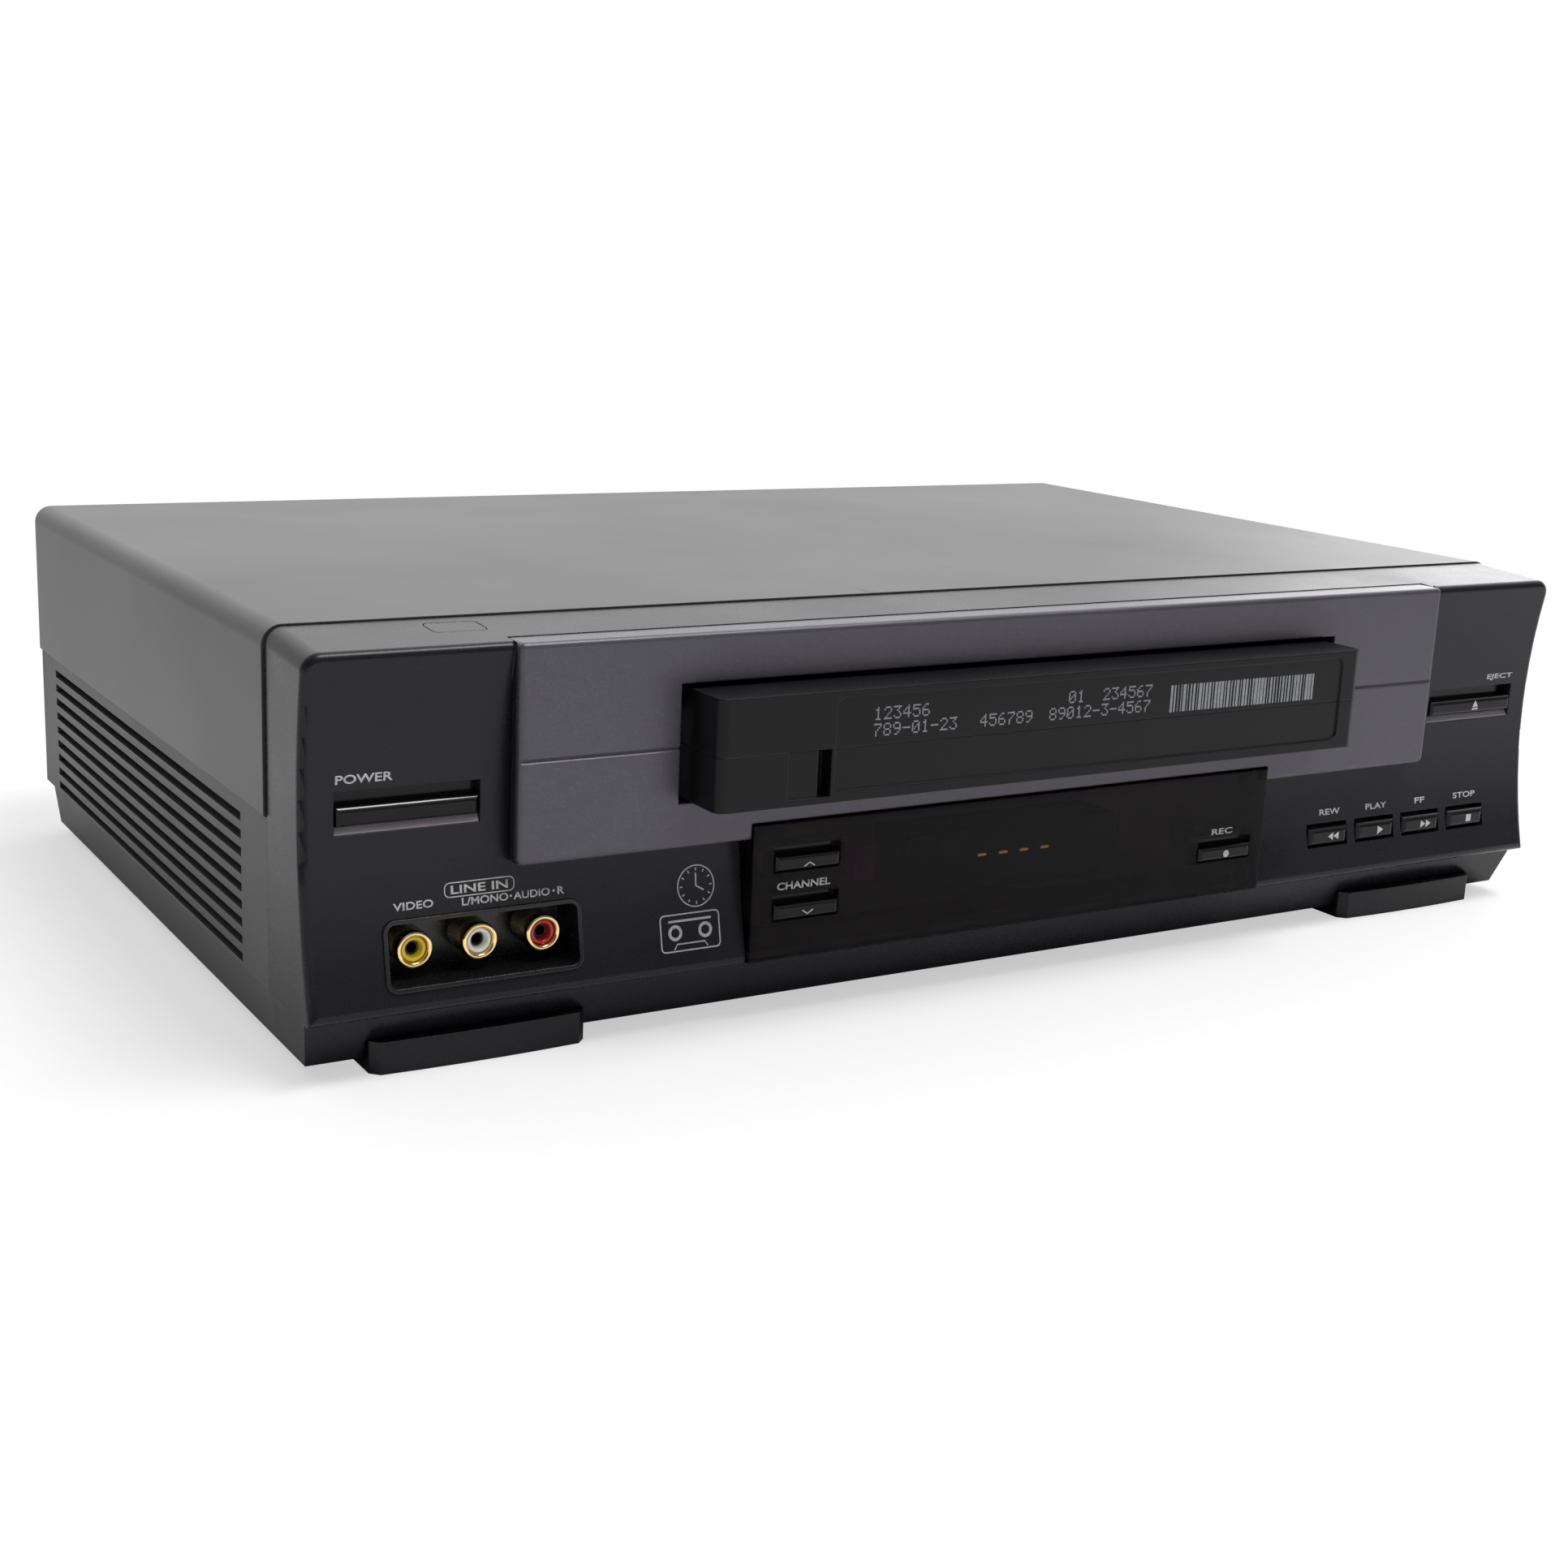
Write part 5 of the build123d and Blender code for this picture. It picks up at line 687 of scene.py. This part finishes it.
# %% [markdown]
# Each key has a symbol that must travel with it when it is pressed, so every symbol is a piece of
# its own that rides on its key. The shapes are the usual ones: triangles for the direction of the
# tape, a square for stop, a disc for record, a bar under a triangle for eject and a chevron for
# each channel key.

# %% Symbols on the keys
def triangle(x, z, size, turn):
    """A triangle that points along an angle in degrees."""
    return [arc(x, z, size, turn + step, turn + step, 1)[0] for step in (0, 120, 240)]


def symbol_drawing(kind):
    flat = bmesh.new()
    if kind == "rewind":
        for x in (104.7, 106.7):
            area(flat, triangle(x, 25.2, 1.2, 180))
    elif kind == "play":
        area(flat, triangle(122.5, 25.2, 1.4, 0))
    elif kind == "forward":
        for x in (138.9, 140.9):
            area(flat, triangle(x, 25.2, 1.2, 0))
    elif kind == "stop":
        area(flat, [(156.1, 24.2), (158.0, 24.2), (158.0, 26.2), (156.1, 26.2)])
    elif kind == "record":
        area(flat, ring(64.2, 25.6, 0.95, 18))
    elif kind == "eject":
        area(flat, triangle(157.8, 56.8, 1.2, 90))
        area(flat, [(156.7, 55.4), (158.9, 55.4), (158.9, 55.9), (156.7, 55.9)])
    elif kind == "channel_up":
        outline(flat, [(-63.6, 36.3), (-62.2, 37.2), (-60.8, 36.3)], False, 0.3)
    elif kind == "channel_down":
        outline(flat, [(-63.6, 25.9), (-62.2, 25.0), (-60.8, 25.9)], False, 0.3)
    bmesh.ops.triangulate(flat, faces=flat.faces[:])
    bmesh.ops.subdivide_edges(flat, edges=flat.edges[:], cuts=3, use_grid_fill=True)
    return flat


for kind in ("rewind", "play", "forward", "stop", "record", "eject", "channel_up", "channel_down"):
    key = f"{kind}_button"
    printed(f"{kind}_symbol", symbol_drawing(kind), surface_of(key), key, key_ink)

# %% [markdown]
# Under the power and eject keys the opening ends in a short sloping sill in the panel's paint. The
# sill is made much paler than the panel as painted light, because the proud key shades it. It is a
# wedge that fills the bottom of the opening below the key. A small function sweeps its side view
# across the width of each key.

# %% Sills under the two long keys
SILL_LOW, SILL_HIGH = 52.65, 54.25
SILL_FRONT, SILL_CREST, SILL_BACK = -20.0, -18.9, -18.4


def strip(name, side_view, x0, x1, body, material):
    """Sweep a side view, y and z in millimetres, from x0 to x1."""
    mesh, build = bpy.data.meshes.new(name), bmesh.new()
    ends = [[build.verts.new(at(x, y, z)) for y, z in side_view] for x in (x0, x1)]
    count = len(side_view)
    for end in ends:
        build.faces.new(end)
    for number in range(count):
        after = (number + 1) % count
        build.faces.new((ends[0][number], ends[0][after], ends[1][after], ends[1][number]))
    bmesh.ops.recalc_face_normals(build, faces=build.faces)
    build.to_mesh(mesh)
    build.free()
    mesh.materials.append(material)
    settled(name, mesh, body)


sill_side = [(SILL_FRONT, SILL_LOW), (SILL_CREST, SILL_HIGH), (SILL_BACK, SILL_HIGH), (SILL_BACK, SILL_LOW)]
# the sills wear the paler painted-light finish, not the panel's own tone
for name, x0, x1 in (("power_sill", -172.0, -140.2), ("eject_sill", 140.2, 172.0)):
    strip(name, sill_side, x0, x1, "cabinet", finishes["sill_grey"])

# %% [markdown]
# Geometry Nodes suit whatever repeats. One function sets up such a tree: named inputs, which are
# numbers or an object, then a shape on each point, and Realize Instances and Set Material at the
# end. Another runs it over a few points, copies the result to a plain mesh and removes the
# modifier, so what is left is ordinary geometry.

# %% Trees that repeat a shape
def repeating_tree(name, inputs, plan):
    """A tree with named inputs; plan(recipe, mesh, given) returns the instances."""
    tree = bpy.data.node_groups.new(name, "GeometryNodeTree")
    tree.interface.new_socket("Geometry", in_out="INPUT", socket_type="NodeSocketGeometry")
    for label, value in inputs.items():
        kind = "NodeSocketObject" if value is None else "NodeSocketFloat"
        socket = tree.interface.new_socket(label, in_out="INPUT", socket_type=kind)
        if value is not None:
            socket.default_value = value
    tree.interface.new_socket("Material", in_out="INPUT", socket_type="NodeSocketMaterial")
    tree.interface.new_socket("Geometry", in_out="OUTPUT", socket_type="NodeSocketGeometry")
    recipe = Recipe(tree)
    start = recipe.node("NodeGroupInput").socket.node
    given = {socket.name: Field(recipe, socket) for socket in start.outputs if socket.name}
    copies = plan(recipe, given["Geometry"], given)
    solid = recipe.node("GeometryNodeRealizeInstances", None, {"Geometry": copies})
    dressed = recipe.node(
        "GeometryNodeSetMaterial", None, {"Geometry": solid, "Material": given["Material"]}
    )
    recipe.node("NodeGroupOutput", None, {"Geometry": dressed})
    return tree


def repeated(name, tree, points, values, body, slot, material=None):
    """Run a tree over points and keep the result as a plain mesh that rides on a body."""
    seeds = bpy.data.meshes.new(name + "_points")
    seeds.from_pydata([tuple(point) for point in points], [], [])
    maker = bpy.data.objects.new(name + "_maker", seeds)
    bpy.context.scene.collection.objects.link(maker)
    modifier = maker.modifiers.new("repeat", "NODES")
    modifier.node_group = tree
    for socket in tree.interface.items_tree:
        if socket.in_out == "INPUT" and socket.name in values:
            modifier[socket.identifier] = values[socket.name]
        elif socket.in_out == "INPUT" and socket.name == "Material":
            modifier[socket.identifier] = material or finishes[slot]
    mesh = bpy.data.meshes.new_from_object(maker.evaluated_get(bpy.context.evaluated_depsgraph_get()))
    maker.modifiers.clear()
    bpy.data.objects.remove(maker)
    print(name, len(points), "copies")
    return settled(name, mesh, body)


print("helpers: repeating_tree, repeated")

# %% [markdown]
# A phono socket is a turned brass shell with a gold flash and a coloured nylon insert. Its mouth
# is rolled to a round lip, which is what glints, and the insert has a small countersink round the
# pin hole. One side view, spun about its axis, gives each of them. The nine sockets are the same
# part, so Geometry Nodes set a copy on each place and turn the rear ones round.

# %% Turned shapes for the sockets
def turned(name, profile, segments=36):
    """Spin (radius, depth) points, in millimetres, about the y axis into a closed shape."""
    build, rows = bmesh.new(), []
    for radius, depth in profile:
        turns = segments if radius else 1
        angles = [2 * math.pi * n / segments for n in range(turns)]
        places = [Vector((radius * math.cos(a), depth, radius * math.sin(a))) / 1000 for a in angles]
        rows.append([build.verts.new(place) for place in places])
    for before, after in zip(rows, rows[1:]):
        for n in range(segments):
            corners = [before[n % len(before)], before[(n + 1) % len(before)],
                       after[(n + 1) % len(after)], after[n % len(after)]]
            build.faces.new(list(dict.fromkeys(corners)))
    bmesh.ops.recalc_face_normals(build, faces=build.faces)
    mesh = bpy.data.meshes.new(name)
    build.to_mesh(mesh)
    build.free()
    mesh.shade_smooth()
    shape = bpy.data.objects.new(name, mesh)
    bpy.context.scene.collection.objects.link(shape)
    return shape


def lip(radius, depth, size, steps=6):
    """Points of a half round, from its outer side over the top to its inner side."""
    return arc(radius, depth, size, 0, -180, steps)


def sockets_plan(recipe, mesh, given):
    shape = recipe.node("GeometryNodeObjectInfo", None, {"Object": given["Shape"]}, "Geometry")
    y = recipe.node("ShaderNodeSeparateXYZ", None, {0: recipe.node("GeometryNodeInputPosition")}, 1)
    turn = recipe.vector(0.0, 0.0, (y > 0.0) * math.pi)
    return recipe.node(
        "GeometryNodeInstanceOnPoints", None, {"Points": mesh, "Instance": shape, "Rotation": turn}
    )


socket_tree = repeating_tree("sockets", {"Shape": None}, sockets_plan)
PITCH, ROW_PITCH = 14.8, 16
FRONT_X, FRONT_Y, FRONT_Z = -139.8, -20.6, 26.3      # mouth of the middle front socket
REAR_X, REAR_Y, REAR_Z = 20, 209.8, 33               # mouth of the first rear socket
front_mouths = [at(FRONT_X + column * PITCH, FRONT_Y, FRONT_Z) for column in (-1, 0, 1)]
rear_mouths = [
    at(REAR_X + column * PITCH, REAR_Y, REAR_Z + row * ROW_PITCH) for row in (0, 1) for column in (0, 1, 2)
]
print("sockets", len(front_mouths + rear_mouths))

# %% [markdown]
# The shell's wall is 1.25 mm thick behind the lip and steps down to a short tail that goes through
# the panel. The insert sits 0.7 mm behind the top of the lip. A spring contact lines the pin hole.
# It takes the black moulding finish in place of metal, as painted shade, so the hole looks as dark
# as the shade in a real one.

# %% Shells, inserts and contacts
shell = turned(
    "shell",
    [(0, 12.5), (2.4, 12.5), (2.4, 8.5), (4.13, 8.5), (4.13, 1.2)] + lip(3.50, 0.62, 0.60)
    + [(2.89, 0.9), (2.88, 7.6), (0, 7.6)],
)
insert = turned(
    "insert",
    [(0, 7.6), (2.86, 7.6), (2.86, 1.5)] + lip(2.37, 1.2, 0.48) + [(1.62, 1.6), (1.6, 6.4), (0, 6.4)],
)
contact = turned(
    "contact",
    [(0, 6.4), (1.59, 6.4), (1.59, 2.3), (1.25, 2.1), (1.1, 2.6), (1.1, 5.6), (0, 5.6)], 24,
)
all_mouths = front_mouths + rear_mouths
shells = repeated("socket_shells", socket_tree, all_mouths, {"Shape": shell}, "cabinet", "gold_plate")
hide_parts("jack_shells")
for number, tint_name in enumerate(("yellow", "white", "red")):
    mouths = front_mouths[number::3] + rear_mouths[number::3]
    inserts = repeated(f"{tint_name}_inserts", socket_tree, mouths, {"Shape": insert}, "cabinet",
                       f"{tint_name}_plastic")
    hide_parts(f"{tint_name}_jack_inserts")
# painted shade: the contacts take the black moulding finish to darken the pin holes
repeated("socket_contacts", socket_tree, all_mouths, {"Shape": contact}, "cabinet", "jack_black")
for shape in (shell, insert, contact):
    bpy.data.objects.remove(shape)

# %% [markdown]
# Behind the window the tube shows four amber dashes when the clock is not set. A dash is a small
# flat block on the tube's face. It glows weakly, so the strength of its emission is a constant set
# on the shader, and a noise over its colour keeps it from looking like paint.

# %% Lit dashes on the display tube
def glowing(name, tone, strength):
    finish = Finish(name)
    mottle = finish.grain(1500.0)
    return finish.skin(
        Base_Color=finish.tint(mottle, shade(tone, 0.3), shade(tone, 0.5)),
        Roughness=mottle.lift(0.3, 0.7, 0.3, 0.5),
        Emission_Color=finish.tint(mottle.lift(0.3, 0.7), shade(tone, 0.75), tone),
        Emission_Strength=strength,
    )


def dash_plan(recipe, mesh, given):
    size = recipe.vector(given["Length"], given["Depth"], given["Height"])
    bar = recipe.node("GeometryNodeMeshCube", None, {"Size": size})
    return recipe.node("GeometryNodeInstanceOnPoints", None, {"Points": mesh, "Instance": bar})


amber = glowing("amber_glow", (1.0, 0.50, 0.12), 1.3)
dash_tree = repeating_tree("dashes", {"Length": 0.004, "Depth": 0.0002, "Height": 0.0006}, dash_plan)
repeated("display_dashes", dash_tree, [at(x, -22.1, 31.9) for x in (-9.8, -3.5, 2.8, 9.1)],
         {"Length": 0.0024}, "cabinet", "tube_glass", amber)

# %% [markdown]
# The eye for the remote control sits left of the tube: a small moulded block with a domed lens. It
# shows only as a dim purple patch behind the acrylic. Its plastic is a bright magenta, far paler than
# the dark lens itself. That is painted light, which makes up for the little light that passes the
# acrylic twice.

# %% Eye for the remote control
# painted light: a bright magenta in place of the dark lens, so the eye shows through the acrylic
eye_plastic = ink("eye_plastic", (0.78, 0.035, 0.30), 0.7, 0.3)


def domed_block(name, low, high, dome, body, material):
    """A block between two drawn corners, with a dome on its front, softened all over."""
    build = bmesh.new()
    low, high = at(*low), at(*high)
    middle, size = (low + high) / 2, high - low
    bmesh.ops.create_cube(build, size=1.0, matrix=Matrix.Translation(middle) @ Matrix.Diagonal((*size, 1)))
    bmesh.ops.bevel(
        build, geom=build.edges[:], offset=min(size) * 0.12, segments=3, affect="EDGES", profile=0.7
    )
    centre = Matrix.Translation((middle.x, low.y + dome / 1000 * 0.2, middle.z))
    flatter = centre @ Matrix.Diagonal((1, 0.6, 1, 1))
    bmesh.ops.create_uvsphere(build, u_segments=24, v_segments=16, radius=dome / 1000, matrix=flatter)
    mesh = bpy.data.meshes.new(name)
    build.to_mesh(mesh)
    build.free()
    mesh.shade_smooth()
    mesh.materials.append(material)
    settled(name, mesh, body)


domed_block("remote_eye", (-45.5, -20.5, 28.5), (-39.5, -8.1, 37.0), 2.4, "cabinet",
            eye_plastic)

# %% [markdown]
# The spine of the cassette carries two printed lines of digits and a row of bars. The digits only
# count up in groups and are made of dots, as a needle printer strikes them, and the bars have
# random widths that mean nothing. Both are rows of tiny plates on the label recess, and they ride
# on the cassette.

# %% Dotted digits on the spine
DIGITS = {                    # five columns by seven rows, as strings from the top
    "0": "01110100011001110101110011000101110", "1": "00100011000010000100001000010001110",
    "2": "01110100010000100010001000100011111", "3": "11111000100010000010000011000101110",
    "4": "00010001100101010010111110001000010", "5": "11111100001111000001000011000101110",
    "6": "00110010001000011110100011000101110", "7": "11111000010001000100010000100001000",
    "8": "01110100011000101110100011000101110", "9": "01110100011000101111000010001001100",
    "-": "00000000000000011111000000000000000", " ": "0" * 35,
}
SPINE_Y = -38.2               # floor of the label recess
PRINT_Y = SPINE_Y - 0.02      # middle of a plate of print on it
DOT_STEP, SIGN_STEP = 0.42, 2.56


def dotted(line, x, z):
    """Centres of the dots of a line of digits, from its top left corner."""
    places = []
    for number, sign in enumerate(line):
        for index, dot in enumerate(DIGITS[sign]):
            if dot == "1":
                column, row = index % 5, index // 5
                across = x + number * SIGN_STEP + column * DOT_STEP
                places.append(at(across, PRINT_Y, z - row * DOT_STEP))
    return places


dots = (dotted("123456", -54.0, 74.4) + dotted("789-01-23", -54.0, 70.7) + dotted("456789", -25.0, 70.7)
        + dotted("01  234567", 0.2, 74.4) + dotted("89012-3-4567", -5.2, 70.7))
dot_tree = repeating_tree("dots", {"Length": 0.00036, "Depth": 0.00008, "Height": 0.00036}, dash_plan)
repeated("spine_digits", dot_tree, dots, {}, "cassette", "reel_white", spine_ink)

# %% [markdown]
# The bars need a width each. A Random Value node with a fixed seed gives one, so the row is the
# same in every run, and scaling the instances turns one thin plate into a row of different ones.

# %% Row of bars on the spine
def bars_plan(recipe, mesh, given):
    size = recipe.vector(given["Width"], given["Depth"], given["Height"])
    bar = recipe.node("GeometryNodeMeshCube", None, {"Size": size})
    wide = recipe.node("FunctionNodeRandomValue", {"data_type": "FLOAT"}, {2: 0.4, 3: 2.2, 8: 7}, 1)
    scale = recipe.vector(wide, 1.0, 1.0)
    return recipe.node(
        "GeometryNodeInstanceOnPoints", None, {"Points": mesh, "Instance": bar, "Scale": scale}
    )


bar_tree = repeating_tree("bars", {"Width": 0.00042, "Depth": 0.00008, "Height": 0.0066}, bars_plan)
BAR_X, BAR_Z, BAR_STEP, BARS = 31.4, 70.6, 1.00, 47
bar_places = [at(BAR_X + number * BAR_STEP, PRINT_Y, BAR_Z) for number in range(BARS)]
repeated("spine_bars", bar_tree, bar_places, {}, "cassette", "reel_white", spine_ink)

# %% [markdown]
# The boards would look bare without their small parts. Resistors, capacitors and diodes are packed
# in rows, so a grid of points is thinned by chance and each point gets a block of random size and
# turn. Python draws which points stay, and Random Value nodes give each block its size and its
# turn, all with fixed seeds.

# %% Small parts on the main board
random.seed(11)


def components_plan(recipe, mesh, given):
    size = recipe.vector(given["Length"], given["Width"], given["Height"])
    cube = recipe.node("GeometryNodeMeshCube", None, {"Size": size})
    lift = recipe.vector(0.0, 0.0, given["Height"] / 2)
    block = recipe.node("GeometryNodeTransform", None, {"Geometry": cube, "Translation": lift})
    scale = recipe.node(
        "FunctionNodeRandomValue", {"data_type": "FLOAT_VECTOR"},
        {0: (0.5, 0.7, 0.6), 1: (1.4, 1.3, 1.5), 8: 3},
    )
    turn = recipe.node("FunctionNodeRandomValue", {"data_type": "INT"}, {4: 0, 5: 1, 8: 5}, 2) * (math.pi / 2)
    upright = recipe.vector(0.0, 0.0, turn)
    return recipe.node(
        "GeometryNodeInstanceOnPoints", None,
        {"Points": mesh, "Instance": block, "Rotation": upright, "Scale": scale},
    )


BOARD_TOP = 20.2
BOARD_X, BOARD_Y, BOARD_STEP = -164, 70, 7.0          # first point of the grid and its pitch
FILLED = 0.45                                         # share of the points that get a block
# What stands on the board already: middle x, middle y, half width and half depth.
taken = [
    (-30, 88, 18, 14), (-62, 134, 15, 15), (130, 92, 20, 11), (140, 124, 13, 13), (-141.5, 90, 22, 28),
    (-141.5, 150, 26, 30), (-111, 110, 9, 20), (141.5, 182, 32, 22), (-98, 180, 8, 8), (98, 180, 8, 8),
    (55, 112, 27, 27),
]
places = []
for column in range(48):
    for row in range(18):
        x, y = BOARD_X + column * BOARD_STEP, BOARD_Y + row * BOARD_STEP
        clear_of = all(abs(x - cx) > hx or abs(y - cy) > hy for cx, cy, hx, hy in taken)
        if clear_of and random.random() < FILLED:
            places.append(at(x, y, BOARD_TOP - 0.02))
component_sizes = {"Length": 0.0042, "Width": 0.0022, "Height": 0.0019}
component_tree = repeating_tree("components", component_sizes, components_plan)
repeated("board_components", component_tree, places, {}, "cabinet", "switch_plastic")

# %% [markdown]
# The machine stands on white paper that takes the shadow near it and fades to plain white farther
# off. The camera sees that white. Reflections see it too, but only behind the machine and less on
# the left. All other rays meet ordinary paper.

# %% Floor
def floor_paper():
    finish = Finish("floor_paper")
    pulp = finish.grain(260.0, 4.0, 0.6)
    paper = finish.node(
        "ShaderNodeBsdfPrincipled", None,
        {"Base Color": finish.tint(pulp, 0.86, 0.90), "Roughness": 0.8, "Specular IOR Level": 0.2},
    )
    white = finish.node("ShaderNodeEmission", None, {"Color": (1, 1, 1, 1), "Strength": 1.0})
    away = finish.node("ShaderNodeVectorMath", {"operation": "LENGTH"}, {0: finish.place}, "Value")
    rear = finish.node("ShaderNodeSeparateXYZ", None, {"Vector": finish.place}, 1).lift(-0.1, 0.3)
    right = finish.node("ShaderNodeSeparateXYZ", None, {"Vector": finish.place}).lift(-0.30, -0.05, 0.35, 1.0)
    seen = finish.node("ShaderNodeLightPath", out="Is Camera Ray")
    glance = finish.node("ShaderNodeLightPath", out="Is Glossy Ray")
    mask = seen * away.lift(0.22, 0.38, 0.55, 1.0) + glance * away.lift(0.40, 0.70) * rear * right
    mixed = finish.node("ShaderNodeMixShader", None, {0: mask, 1: paper, 2: white})
    finish.node("ShaderNodeOutputMaterial", None, {"Surface": mixed})
    return finish.material


sheet = bpy.data.meshes.new("floor")
build = bmesh.new()
bmesh.ops.create_circle(build, cap_ends=True, segments=96, radius=4.0)
build.to_mesh(sheet)
build.free()
sheet.materials.append(floor_paper())
floor = bpy.data.objects.new("floor", sheet)
bpy.context.scene.collection.objects.link(floor)
print("floor radius 4 m")

# %% [markdown]
# World and lamp together make a soft studio. The camera sees a plain white world. The rest of the
# light comes mostly from behind, and most of all from the back on the right, where a window would
# be. It is fainter above, dimmer to the left than to the right, and never falls to nothing. One
# long softbox hangs high in front on the right and lights the rounded upper edges of the front.

# %% World and lamp
world = bpy.data.worlds.new("studio")
world.use_nodes = True
world.node_tree.nodes.clear()
room = Recipe(world.node_tree)
way = room.node("ShaderNodeTexCoord", out="Generated")
parts = room.node("ShaderNodeSeparateXYZ", None, {"Vector": way})
behind = room.node("ShaderNodeSeparateXYZ", None, {"Vector": way}, 1).lift(-0.25, 0.6)
above = room.node("ShaderNodeSeparateXYZ", None, {"Vector": way}, 2).lift(0.0, 0.9)
left = (parts * -1.0).lift(0.1, 0.9)
right = parts.lift(0.1, 0.9)
glare = parts.lift(0.35, 0.55) * 0.10 + parts.lift(0.65, 0.75) * 2.4
corner = (parts * -1.0).lift(0.05, 0.25) * 0.30
light = behind * (glare - corner + 1.15) + above * 0.28 - left * 0.38 - right * 0.16 + 0.14
light = light.lift(0.09, 4.0, 0.09, 4.0)
camera_ray = room.node("ShaderNodeLightPath", out="Is Camera Ray")
strength = camera_ray + (1 - camera_ray) * light
sky = room.node("ShaderNodeBackground", None, {"Color": (1, 1, 1, 1), "Strength": strength})
room.node("ShaderNodeOutputWorld", None, {"Surface": sky})
bpy.context.scene.world = world


def softbox(name, place, look_at, wide, deep, watts):
    """An area lamp that faces a point."""
    lamp = bpy.data.lights.new(name, "AREA")
    lamp.shape, lamp.size, lamp.size_y, lamp.energy = "RECTANGLE", wide, deep, watts
    holder = bpy.data.objects.new(name, lamp)
    holder.location = place
    holder.rotation_euler = (Vector(look_at) - Vector(place)).to_track_quat("-Z", "Y").to_euler()
    bpy.context.scene.collection.objects.link(holder)
    print(name, watts, "W")


softbox("strip", (0.30, -0.45, 1.40), (0.0, 0, 0), 0.9, 0.45, 18.0)
